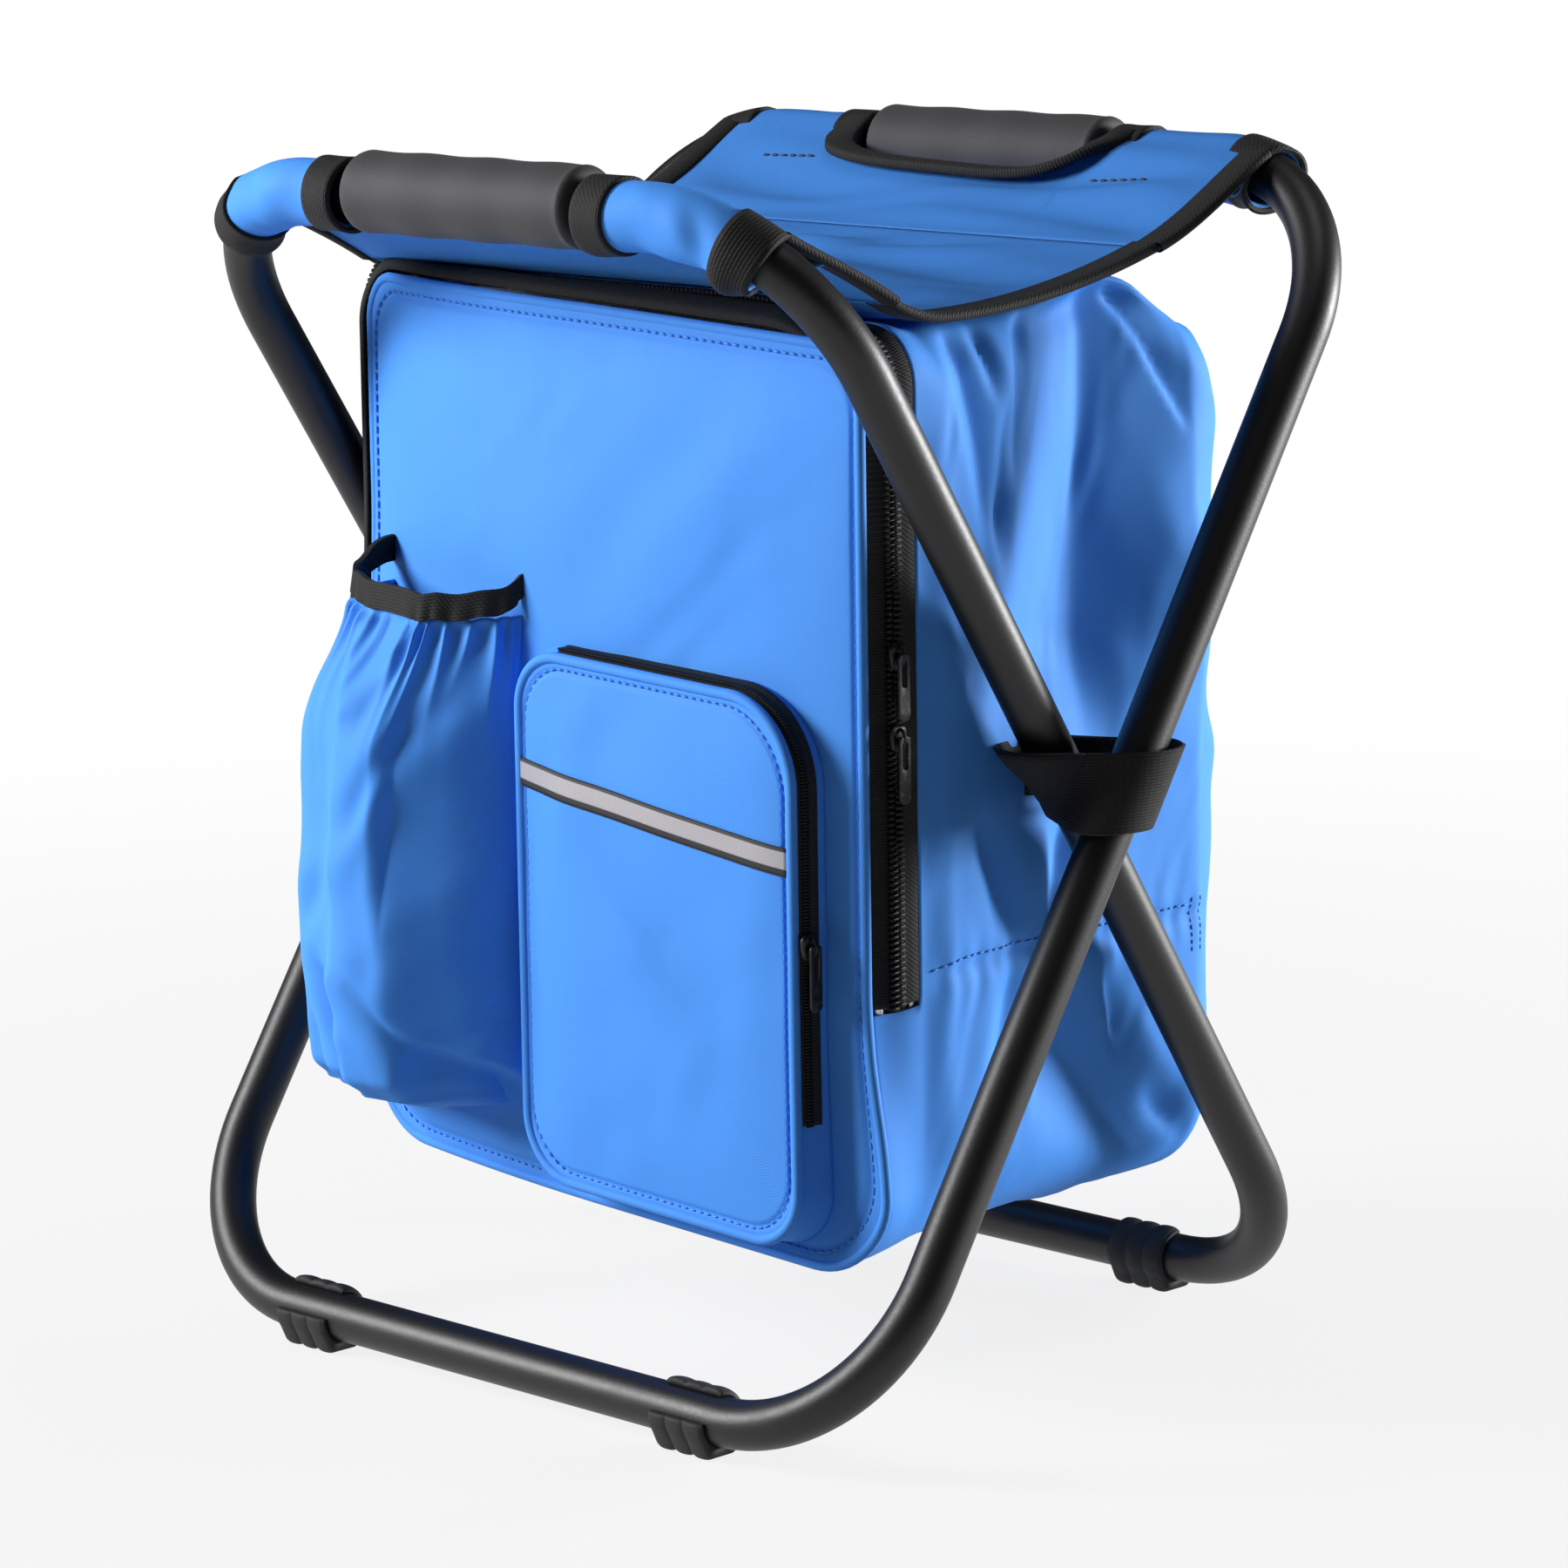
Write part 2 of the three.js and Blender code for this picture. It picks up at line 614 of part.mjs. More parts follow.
// Height of the bag's top over its lowest line: it lies under the sling and drops off behind it.
function bagRise(y) {
  const ahead = Math.max(-SEAT_LOW_Y - y, 0) / (BAG_FRONT - SEAT_LOW_Y);
  const behind = Math.max(y - SEAT_SPLIT_Y, 0) / (BAG_BACK - SEAT_SPLIT_Y);
  const under = THREE.MathUtils.clamp(y, -SEAT_LOW_Y, SEAT_SPLIT_Y);
  return BAG_FRONT_RISE * ahead + seatRise(under) - BACK_DROP * behind;
}

// Hangs a point of the bag: the top follows the sling, and a fold draws each side in.
const creaseY = bagRow(BAG_ROWS / 2);
const creaseRun = bagRow(1) - bagRow(0);
const sideLow = BAG_BOTTOM + BAG_CORNER_LOW;
const sideHigh = BAG_TOP - BAG_CORNER_HIGH;
const lidLow = BAG_TOP - FOAM_T - 2 * CLOTH_T; // every layer's top lies above this
const shareOf = (value, none, full) => THREE.MathUtils.clamp((value - none) / (full - none), 0, 1);
function hang(p) {
  const drawn = CREASE_DEPTH * shareOf(p.z, sideLow, sideHigh);
  p.x -= Math.sign(p.x) * drawn * shareOf(Math.abs(p.y - creaseY), creaseRun, 0);
  p.z += bagRise(p.y) * shareOf(p.z, FOLD_Z, lidLow);
}

const bagSheet = (inset, front, back, low, high) =>
  warp(upright(bagOutline(inset, low, high), front, back), hang);

// The whole bag, drawn in by an inset: rings from its open front to the swelled back.
const bagMiddle = (BAG_TOP + BAG_BOTTOM) / 2;
function bagForm(inset, front) {
  const back = BAG_BACK - inset;
  const rows = [front, ...bagRows, back, back + BACK_SWELL];
  const last = rows.length - 1;
  return warp(upright(bagOutline(inset), 0, last, last), (p) => {
    const row = Math.round(p.y);
    p.y = rows[row];
    if (row === last) {
      p.x *= 1 - BACK_EDGE / BAG_HALF_W;
      p.z = THREE.MathUtils.lerp(p.z, bagMiddle, BACK_EDGE / (BAG_H / 2));
    }
    hang(p);
  });
}

// A tub of one cloth or foam layer: sides, top, bottom and back, open at the front.
const tub = (inset, wall, front) => cut(bagForm(inset, front), bagForm(inset + wall, front - wall));

// Shell, with the zip's band left out of its front edge, then insulation and liner inside it.
const zipZone = block(
  [-2 * BAG_HALF_W, TAPE_FRONT - ZIP_BAND_W, ZIP_END_Z - GAP],
  [2 * BAG_HALF_W, TAPE_BACK + GAP, 2 * BAG_TOP],
);
const foamInset = CLOTH_T + GAP;
const linerInset = foamInset + FOAM_T + GAP;
piece('bag_shell', cut(tub(0, CLOTH_T, TAPE_FRONT), zipZone), blueCloth);
piece('bag_insulation', tub(foamInset, FOAM_T, LINING_FRONT), insulationFoam);
piece('bag_liner', tub(linerInset, LINER_T, LINING_FRONT), foil);

// Front panel below the fold and flap above it: cover with a piped lip, foam and liner each.
const panelTop = FOLD_Z - GAP / 2;
const flapLow = FOLD_Z + GAP / 2;
const fronts = [
  { name: 'front_panel', low: BAG_BOTTOM, high: panelTop },
  { name: 'front_flap', low: flapLow, high: BAG_TOP },
];
for (const { name, low, high } of fronts) {
  piece(`${name}_cover`, bagSheet(-PIPING_LIP, -BAG_FRONT, COVER_BACK, low, high), blueCloth);
  piece(`${name}_foam`, bagSheet(foamInset, TAPE_FRONT, FRONT_FOAM_BACK, low, high), insulationFoam);
  const liner = bagSheet(foamInset, FRONT_LINER_FRONT, FRONT_LINER_FRONT + LINER_T, low, high);
  piece(`${name}_liner`, liner, foil);
}

// Main zip: a band down both sides and over the top, parted along the teeth.
function zipBand(front, back, low, high) {
  const hollow = bagSheet(CLOTH_T, front - ZIP_BAND_W, back + ZIP_BAND_W, low - ZIP_BAND_W, high);
  return cut(bagSheet(0, front, back, low, high), hollow);
}

piece('zip_tape_flap', zipBand(TAPE_FRONT, ZIP_Y - GAP / 2, flapLow, BAG_TOP), zipTape);
piece('zip_tape_shell', zipBand(ZIP_Y + GAP / 2, TAPE_BACK, ZIP_END_Z, BAG_TOP), zipTape);
for (const [side, sign] of [['right', 1], ['left', -1]]) {
  const edges = [sign * BAG_HALF_W, sign * (BAG_HALF_W - CLOTH_T)].sort((a, b) => a - b);
  const low = [edges[0], TAPE_FRONT, ZIP_END_Z];
  const high = [edges[1], ZIP_Y - GAP / 2, panelTop];
  piece(`zip_tape_panel_${side}`, block(low, high), zipTape);
}

// Zip pocket: a gusset on the front panel, and a front whose zipped corner folds down.
const pocketOutline = (inset) =>
  roundedOutline(
    ZIP_POCKET_LEFT + inset,
    ZIP_POCKET_RIGHT - inset,
    ZIP_POCKET_LOW + inset,
    ZIP_POCKET_TOP - inset,
    ZIP_POCKET_R - inset,
    ZIP_POCKET_R - inset,
  );
const pocketZipX = ZIP_POCKET_LEFT + POCKET_ZIP_START;
const pocketZipZ = ZIP_POCKET_TOP - POCKET_ZIP_DROP;
const gusset = cut(
  upright(pocketOutline(0), POCKET_RIM, POCKET_BACK),
  upright(pocketOutline(CLOTH_T), POCKET_RIM - CLOTH_T, POCKET_BACK + CLOTH_T),
);
const pocketZone = (grow) => block(
  [pocketZipX - grow, POCKET_RIM - CLOTH_T, pocketZipZ - grow],
  [ZIP_POCKET_RIGHT + CLOTH_T, POCKET_RIM + POCKET_ZIP_W + grow, ZIP_POCKET_TOP + CLOTH_T],
);
piece('pocket_gusset', cut(gusset, pocketZone(GAP)), blueCloth);
piece('pocket_zip_tape', common(gusset, pocketZone(0)), zipTape);

// The corner that the zip frees, cut off along the line between the zip's ends.
function pocketCorner(shift) {
  const run = new THREE.Vector2(ZIP_POCKET_RIGHT - pocketZipX, pocketZipZ - ZIP_POCKET_TOP);
  const across = new THREE.Vector2(-run.y, run.x).normalize().multiplyScalar(shift);
  const start = new THREE.Vector2(pocketZipX, ZIP_POCKET_TOP).sub(run).add(across);
  const end = new THREE.Vector2(ZIP_POCKET_RIGHT, pocketZipZ).add(run).add(across);
  const shape = new THREE.Shape([start, end, new THREE.Vector2(end.x, start.y)]);
  return upright(shape, POCKET_FACE - BAG_FRONT, POCKET_BACK);
}

const pocketFace = upright(pocketOutline(-PIPING_LIP), POCKET_FACE, POCKET_FACE_BACK);
piece('pocket_front', cut(pocketFace, pocketCorner(-GAP / 2)), blueCloth);
piece('pocket_corner_flap', common(pocketFace, pocketCorner(GAP / 2)), blueCloth);

// Reflective strip across the pocket, in two lengths that meet at the fold.
const stripTop = ZIP_POCKET_TOP - STRIP_DROP;
const strip = block(
  [ZIP_POCKET_LEFT, POCKET_FACE - GAP - STRIP_T, stripTop - STRIP_H],
  [ZIP_POCKET_RIGHT, POCKET_FACE - GAP, stripTop],
);
piece('reflective_strip_left', cut(strip, pocketCorner(-GAP / 2)), reflector);
piece('reflective_strip_right', common(strip, pocketCorner(GAP / 2)), reflector);

// Bottle pocket: a cloth wall that bellies out from the panel, with an elastic rim.
const bottleMid = (BOTTLE_LEFT + BOTTLE_RIGHT) / 2;
const bottleHalfW = (BOTTLE_RIGHT - BOTTLE_LEFT) / 2;

function bottleDepth(z) {
  const share = (z - BOTTLE_LOW) / BOTTLE_H;
  const straight = BOTTLE_FOOT_DEPTH + (BOTTLE_MOUTH_DEPTH - BOTTLE_FOOT_DEPTH) * share;
  const ends = (BOTTLE_FOOT_DEPTH + BOTTLE_MOUTH_DEPTH) / 2;
  return straight + (BOTTLE_BELLY_DEPTH - ends) * 4 * share * (1 - share);
}

// A point on the pocket's plan, from its left seam at share 0 to its right seam at share 1.
function bottlePoint(share, z, inset) {
  const angle = Math.PI * share;
  const swell = Math.pow(Math.sin(angle), BOTTLE_FULLNESS);
  return new THREE.Vector2(
    bottleMid - (bottleHalfW - inset) * Math.cos(angle),
    POCKET_BACK - (bottleDepth(z) - inset) * swell,
  );
}

function bottleWall(low, high, thickness, rows) {
  const wall = new THREE.BoxGeometry(1, thickness, high - low, POCKET_COLUMNS, 1, rows);
  return warp(wall, (p) => {
    const z = p.z + (low + high) / 2;
    const plan = bottlePoint(p.x + 0.5, z, p.y + thickness / 2);
    p.set(plan.x, plan.y, z);
  });
}

const bottleTop = BOTTLE_LOW + BOTTLE_H;
const floorEdge = Array.from({ length: POCKET_COLUMNS + 1 }, (_, i) =>
  bottlePoint(i / POCKET_COLUMNS, BOTTLE_LOW, CLOTH_T / 2),
);
const bottleFloor = level(new THREE.Shape(floorEdge), BOTTLE_LOW, BOTTLE_LOW + CLOTH_T);
const bottleBag = bottleWall(BOTTLE_LOW, bottleTop, CLOTH_T, POCKET_ROWS);
piece('bottle_pocket', join(bottleBag, bottleFloor), blueCloth);
piece('bottle_pocket_elastic', bottleWall(bottleTop + GAP, BOTTLE_TOP, ELASTIC_T, 1), webbing);

// Zip sliders, each a rounded body with a bail on its face, and the pulls that hang from them.
function slider(x, y, z) {
  const half = SLIDER_W / 2;
  const top = SLIDER_L / 2;
  const body = roundedOutline(y - half, y + half, z - top, z + top, half / 2, half / 2);
  return alongX(body, x + GAP, x + GAP + SLIDER_T);
}

function pull(x, y, z) {
  const half = PULL_W / 2;
  const left = x + GAP + SLIDER_T + GAP;
  const tab = roundedOutline(y - half, y + half, z - PULL_L, z + half, half, half);
  return alongX(tab, left, left + PULL_T);
}

const upperSliderZ = FOLD_Z - SLIDER_BELOW_FOLD;
const mainZips = [
  { name: 'main', level: 'upper', x: BAG_HALF_W, y: ZIP_Y, z: upperSliderZ },
  { name: 'main', level: 'lower', x: BAG_HALF_W, y: ZIP_Y, z: upperSliderZ - SLIDER_SPACING },
];
for (const zip of mainZips) {
  piece(`${zip.name}_slider_${zip.level}`, slider(zip.x, zip.y, zip.z), zipMetal);
  piece(`${zip.name}_pull_${zip.level}`, pull(zip.x, zip.y, zip.z), zipMetal);
}
const pocketSliderY = POCKET_RIM + SLIDER_W / 2 + GAP;
const pocketSliderZ = ZIP_POCKET_TOP - POCKET_SLIDER_DROP;
piece('pocket_slider', slider(ZIP_POCKET_RIGHT, pocketSliderY, pocketSliderZ), zipMetal);
piece('pocket_pull', pull(ZIP_POCKET_RIGHT, pocketSliderY, pocketSliderZ), zipMetal);

// Shoulder straps on the back: a curved pad, an adjuster at its lower end and flat webbing below.
function bandOutline(curve, width, steps) {
  const edge = (side) =>
    Array.from({ length: steps + 1 }, (_, i) => {
      const tangent = curve.getTangent(i / steps);
      const normal = new THREE.Vector2(-tangent.y, tangent.x);
      return curve.getPoint(i / steps).addScaledVector(normal, (side * width) / 2);
    });
  return new THREE.Shape([...edge(1), ...edge(-1).reverse()]);
}

const padTop = BAG_TOP - PAD_TOP_DROP;
const padLow = padTop - PAD_L;

// A curve that leaves its top and reaches its foot straight down, with an easy S between.
function strapCurve(topX, topZ, lowX, lowZ) {
  const middle = (topZ + lowZ) / 2;
  return new THREE.CubicBezierCurve(
    new THREE.Vector2(topX, topZ),
    new THREE.Vector2(topX, middle),
    new THREE.Vector2(lowX, middle),
    new THREE.Vector2(lowX, lowZ),
  );
}

const padCurve = strapCurve(PAD_TOP_X, padTop, PAD_LOW_X, padLow);
const strapBack = BAG_BACK + BACK_SWELL + GAP;
const adjusterTop = padLow - GAP;
const adjusterLow = adjusterTop - ADJUSTER_H;
const slotHalfW = ADJUSTER_W / 2 - ADJUSTER_BAR;
const adjusterMid = (adjusterTop + adjusterLow) / 2;
const adjusterSlot = (low, high) =>
  block(
    [PAD_LOW_X - slotHalfW, strapBack - PAD_T, low],
    [PAD_LOW_X + slotHalfW, strapBack + 2 * PAD_T, high],
  );
const adjuster = cut(
  block(
    [PAD_LOW_X - ADJUSTER_W / 2, strapBack, adjusterLow],
    [PAD_LOW_X + ADJUSTER_W / 2, strapBack + ADJUSTER_BAR, adjusterTop],
  ),
  adjusterSlot(adjusterLow + ADJUSTER_BAR, adjusterMid - ADJUSTER_BAR / 2),
  adjusterSlot(adjusterMid + ADJUSTER_BAR / 2, adjusterTop - ADJUSTER_BAR),
);
const strapFoot = BAG_BOTTOM + STRAP_FOOT_RISE;
const webCurve = strapCurve(PAD_LOW_X, adjusterLow - GAP, STRAP_FOOT_X, strapFoot);
const onBack = (curve, width, thick) =>
  upright(bandOutline(curve, width, STRAP_STEPS), strapBack, strapBack + thick);
const strapPieces = [
  ['strap_pad', onBack(padCurve, PAD_W, PAD_T), padCloth],
  ['strap_adjuster', adjuster, blackPlastic],
  ['strap_web', onBack(webCurve, STRAP_WEB_W, WEB_T), webbing],
];
for (const [name, geometry, look] of strapPieces) {
  piece(`${name}_right`, geometry.clone(), look);
  piece(`${name}_left`, geometry.clone().scale(-1, 1, 1), look);
}

export default stool;
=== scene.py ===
import math

import bmesh
import bpy
import numpy as np
from mathutils import Matrix, Vector


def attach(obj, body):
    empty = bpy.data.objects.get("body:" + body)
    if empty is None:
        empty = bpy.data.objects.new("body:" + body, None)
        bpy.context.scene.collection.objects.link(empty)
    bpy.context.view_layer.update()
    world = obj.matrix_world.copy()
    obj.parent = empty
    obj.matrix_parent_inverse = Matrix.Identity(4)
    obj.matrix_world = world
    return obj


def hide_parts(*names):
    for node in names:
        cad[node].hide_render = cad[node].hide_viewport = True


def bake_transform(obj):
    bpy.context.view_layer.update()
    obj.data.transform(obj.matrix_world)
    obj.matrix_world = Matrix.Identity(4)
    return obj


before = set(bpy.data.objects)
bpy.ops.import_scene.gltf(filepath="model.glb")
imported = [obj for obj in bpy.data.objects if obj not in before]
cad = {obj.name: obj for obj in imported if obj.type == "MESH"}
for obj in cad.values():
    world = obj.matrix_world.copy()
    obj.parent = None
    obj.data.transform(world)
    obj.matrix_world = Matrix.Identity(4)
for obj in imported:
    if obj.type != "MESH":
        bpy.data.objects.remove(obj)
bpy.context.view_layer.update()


# Crossed frame: two loops of round steel tube with wide bends, painted satin black.
# The inner loop carries the front bar and stands at the rear; the outer one is its mirror.
# The legs are riveted where they cross, with a plastic spacer between them.
TUBE_R = 0.008
BEND_R = 0.060
INNER_HALF = 0.1394
OUTER_HALF = 0.1620
PIVOT_Z = 0.20134
LEAN = math.radians(32.7)
TOP_REACH = 0.2236
LOW_REACH = 0.2250
SIN, COS = math.sin(LEAN), math.cos(LEAN)
TURN = 2 * math.pi
SHARP = math.radians(40)


class Socket:
    """One output of a material's node; arithmetic on it adds Math nodes."""

    def __init__(self, look, output):
        self.look, self.output = look, output

    def math(self, operation, *values):
        """One Math node on these values."""
        return self.look.node("Math", dict(enumerate(values)), operation=operation)

    def __add__(self, other):
        return self.math("ADD", self, other)

    def __sub__(self, other):
        return self.math("SUBTRACT", self, other)

    def __rsub__(self, other):
        return self.math("SUBTRACT", other, self)

    def __mul__(self, other):
        return self.math("MULTIPLY", self, other)

    __radd__ = __add__
    __rmul__ = __mul__

    def sine(self):
        """The sine of the value, taken as radians."""
        return self.math("SINE", self)

    def ramp(self, low, high):
        """0 below low, 1 above high and smooth between."""
        inputs = {"Value": self, "From Min": low, "From Max": high}
        return self.look.node("MapRange", inputs, interpolation_type="SMOOTHSTEP")


class Look:
    """A material: a Principled shader and the nodes that feed it."""

    def __init__(self, name, **constants):
        self.material = bpy.data.materials.new(name)
        self.material.use_nodes = True
        self.tree = self.material.node_tree
        self.shader = self.tree.nodes["Principled BSDF"]
        self.feed(**constants)

    def plug(self, socket, value):
        """Links a socket to another node's output, or sets it to a plain value."""
        if isinstance(value, Socket):
            self.tree.links.new(value.output, socket)
        else:
            socket.default_value = value

    def feed(self, **values):
        """Plugs values into the shader's inputs, named with underscores for spaces."""
        for key, value in values.items():
            self.plug(self.shader.inputs[key.replace("_", " ")], value)

    def node(self, kind, inputs=None, output=0, **settings):
        """Adds a node, sets it up, plugs its inputs and gives one of its outputs."""
        made = self.tree.nodes.new("ShaderNode" + kind)
        for key, value in settings.items():
            setattr(made, key, value)
        for key, value in (inputs or {}).items():
            self.plug(made.inputs[key], value)
        return Socket(self, made.outputs[output])

    def place(self):
        """The point's own place on the object, in metres."""
        return self.node("TexCoord", output="Object")

    def across(self):
        """The two UV coordinates, in metres."""
        split = self.tree.nodes.new("ShaderNodeSeparateXYZ")
        self.plug(split.inputs[0], self.node("TexCoord", output="UV"))
        return Socket(self, split.outputs[0]), Socket(self, split.outputs[1])

    def noise(self, scale, detail=3.0, stretch=None):
        """Noise of so many lumps to the metre, drawn out along an axis where stretch is below 1."""
        where = self.place()
        if stretch:
            where = self.node("Mapping", {"Vector": where, "Scale": stretch})
        return self.node("TexNoise", {"Vector": where, "Scale": scale, "Detail": detail})

    def mix(self, share, low, high):
        """The colour low at share 0, high at share 1 and blended between."""
        inputs = {0: share}
        for slot, value in ((6, low), (7, high)):
            inputs[slot] = value if isinstance(value, Socket) else (*value, 1.0)
        return self.node("Mix", inputs, output=2, data_type="RGBA")

    def relief(self, height, depth, strength):
        """Tilts the normal as a surface that rises by depth where height is 1."""
        inputs = {"Height": height, "Distance": depth, "Strength": strength}
        self.feed(Normal=self.node("Bump", inputs))


def grid(points, wrap_rows=False, wrap_columns=False):
    """Vertices, quads and corner UVs of a grid of points; the UVs run in metres along its lines."""
    rows, columns = points.shape[:2]
    whole = np.concatenate([points, points[:1]], 0) if wrap_rows else points
    whole = np.concatenate([whole, whole[:, :1]], 1) if wrap_columns else whole
    steps = [np.linalg.norm(np.diff(whole, axis=k), axis=2).mean(1 - k) for k in (1, 0)]
    uv = np.stack(np.meshgrid(*[np.append(0, np.cumsum(s)) for s in steps]), -1)
    i, j = np.meshgrid(*[np.arange(n - 1) for n in whole.shape[:2]], indexing="ij")
    corners = [(i, j), (i, j + 1), (i + 1, j + 1), (i + 1, j)]
    faces = np.stack([(a % rows) * columns + b % columns for a, b in corners], -1)
    corner_uv = np.stack([uv[a, b] for a, b in corners], -2)
    return points.reshape(-1, 3), faces.reshape(-1, 4), corner_uv.reshape(-1, 2)


def build(name, look, *grids, merge=0.0, thickness=0.0, offset=-1.0, bevel=0.0):
    """One smooth object from grids; merged and turned outwards, with a cloth's thickness if given."""
    starts = np.cumsum([0] + [len(g[0]) for g in grids])
    mesh = bpy.data.meshes.new(name)
    faces = np.concatenate([g[1] + s for g, s in zip(grids, starts)])
    mesh.from_pydata(np.concatenate([g[0] for g in grids]).tolist(), [], faces.tolist())
    layer = mesh.uv_layers.new(name="UVMap")
    layer.data.foreach_set("uv", np.concatenate([g[2] for g in grids]).astype(np.float32).ravel())
    work = bmesh.new()
    work.from_mesh(mesh)
    if merge:
        bmesh.ops.remove_doubles(work, verts=work.verts, dist=merge)
        bmesh.ops.dissolve_degenerate(work, edges=work.edges, dist=1e-7)
    bmesh.ops.recalc_face_normals(work, faces=work.faces)
    work.to_mesh(mesh)
    work.free()
    mesh.polygons.foreach_set("use_smooth", np.ones(len(mesh.polygons), bool))
    mesh.materials.append(look.material)
    made = bpy.data.objects.new(name, mesh)
    bpy.context.scene.collection.objects.link(made)
    if thickness:
        shell = made.modifiers.new("thickness", "SOLIDIFY")
        shell.thickness, shell.offset = thickness, offset
    if bevel:
        round_edge = made.modifiers.new("bevel", "BEVEL")
        round_edge.width, round_edge.segments = bevel, 2
        round_edge.limit_method, round_edge.angle_limit = "ANGLE", SHARP
        mesh.set_sharp_from_angle(angle=SHARP)
    return made


def unit(vectors):
    """Each vector divided by its length."""
    return vectors / np.maximum(np.linalg.norm(vectors, axis=-1, keepdims=True), 1e-12)


def heading(line, closed):
    """Unit direction of travel at each point of a line."""
    if closed:
        return unit(np.roll(line, -1, 0) - np.roll(line, 1, 0))
    return unit(np.gradient(line, axis=0))


def circle(radius, count):
    """Points evenly round a circle, clockwise from its right."""
    angles = -np.arange(count) * TURN / count
    return radius * np.stack([np.cos(angles), np.sin(angles)], 1)


def sweep(line, section, up, closed=False):
    """A section of (sideways, upwards) offsets carried along a line, kept square to its heading."""
    ahead = heading(line, closed)
    side = unit(np.cross(ahead, np.broadcast_to(up, line.shape)))
    top = np.cross(side, ahead)
    return line[:, None] + side[:, None] * section[None, :, :1] + top[:, None] * section[None, :, 1:]


def travel(line):
    """The way along a line to each of its points: the running sum of its steps."""
    return np.append(0, np.cumsum(np.linalg.norm(np.diff(line, axis=0), axis=1)))


def resample(line, count, closed=False):
    """The same line with its points evenly spaced."""
    line = np.concatenate([line, line[:1]]) if closed else line
    run = travel(line)
    at = np.linspace(0, run[-1], count + 1)[:-1] if closed else np.linspace(0, run[-1], count)
    return np.stack([np.interp(at, run, line[:, k]) for k in range(line.shape[1])], 1)


def rounded(left, right, low, high, radii, count):
    """A rounded rectangle from the middle of its low side, anticlockwise, evenly spaced."""
    centres = [(right, low, -1, 1, -90), (right, high, -1, -1, 0)]
    centres += [(left, high, 1, -1, 90), (left, low, 1, 1, 180)]
    line = [((left + right) / 2, low)]
    for (x, z, sx, sz, start), radius in zip(centres, radii):
        angles = np.radians(start + np.linspace(0, 90, 25))
        middle = (x + sx * radius, z + sz * radius)
        line += [(middle[0] + radius * math.cos(a), middle[1] + radius * math.sin(a)) for a in angles]
    return resample(np.array(line), count, closed=True)


def ease(low, high, value):
    """Smooth step from 0 at low to 1 at high."""
    share = np.clip((value - low) / (high - low), 0, 1)
    return share * share * (3 - 2 * share)


steel = Look("steel_paint", Specular_IOR_Level=0.45)
peel = steel.noise(900.0, 2.0)
rub = steel.noise(18.0, 6.0).ramp(0.55, 0.8)
steel.feed(Base_Color=steel.mix(rub, (0.0045, 0.0043, 0.0052), (0.009, 0.0087, 0.01)))
steel.feed(Roughness=0.40 + 0.10 * peel + 0.06 * rub)
steel.relief(peel, 0.00012, 0.35)


def loop_line(half_width, side):
    """A loop of tube: straight runs joined by four quarter bends, leaning to one side."""
    x, high, low = half_width - BEND_R, TOP_REACH - BEND_R, BEND_R - LOW_REACH
    line = []
    for start, cx, cz in ((0, x, high), (90, x, low), (180, -x, low), (270, -x, high)):
        angles = np.radians(start + np.linspace(0, 90, 28))
        line += [(cx + BEND_R * math.sin(a), cz + BEND_R * math.cos(a)) for a in angles]
    flat = np.array(line)
    return np.stack([flat[:, 0], side * SIN * flat[:, 1], PIVOT_Z + COS * flat[:, 1]], 1)


for name, half_width, side in (("inner", INNER_HALF, -1), ("outer", OUTER_HALF, 1)):
    line = loop_line(half_width, side)
    plane = (0.0, side * COS, -SIN)
    tube = build(f"{name}_loop", steel, grid(sweep(line, circle(TUBE_R, 36), plane, True), True, True))
    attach(tube, f"{name}_frame")
    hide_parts(f"{name}_tube")


def grained(name, grain, dark, pale, smooth, rough, depth=0.0, **constants):
    """A plain finish: one noise moves its tone from dark to pale, roughens it and stands in relief."""
    look = Look(name, **constants)
    speck = look.noise(*grain)
    look.feed(Base_Color=look.mix(speck, dark, pale), Roughness=smooth + rough * speck)
    if depth:
        look.relief(speck, depth, 0.4)
    return look


zinc = grained("rivet_zinc", (240.0, 5.0), (0.33, 0.34, 0.36), (0.5, 0.5, 0.5), 0.25, 0.25, Metallic=1.0)
plastic = grained("black_plastic", (1400.0, 2.0), (0.008, 0.008, 0.009), (0.016, 0.016, 0.017),
                  0.42, 0.2, 0.0001)
for node in cad:
    for words, look in ((("rivet", "joiner"), zinc), (("spacer", "adjuster"), plastic)):
        if any(word in node for word in words):
            cad[node].data.materials.clear()
            cad[node].data.materials.append(look.material)


# Rubber feet: ribbed clips pushed over the bottom bars, two on each, with a flat sole.
# Three rounded ribs stand proud of each clip, which leaves the outer upper quarter of its bar bare.
FOOT_R = 0.0106
FOOT_LONG = 0.024
SOLE_HALF = 0.0062
RIBS = 3
RIB_DEEP = 0.0012
LIP_HIGH, LIP_LOW = 84, 6
LIP_THIN = 0.93
SOLE_TURN = 35
SOLE_EDGE, SOLE_RISE = 0.001, 0.0006
FOOT_PLAY = 0.0002
RIB_FLAT, RIB_SPAN = 0.35, 0.985
BRIM_AT, BRIM_SCALE = 0.497, 0.92
FOOT_POINTS = 64
HANDS = (("right", 1), ("left", -1))

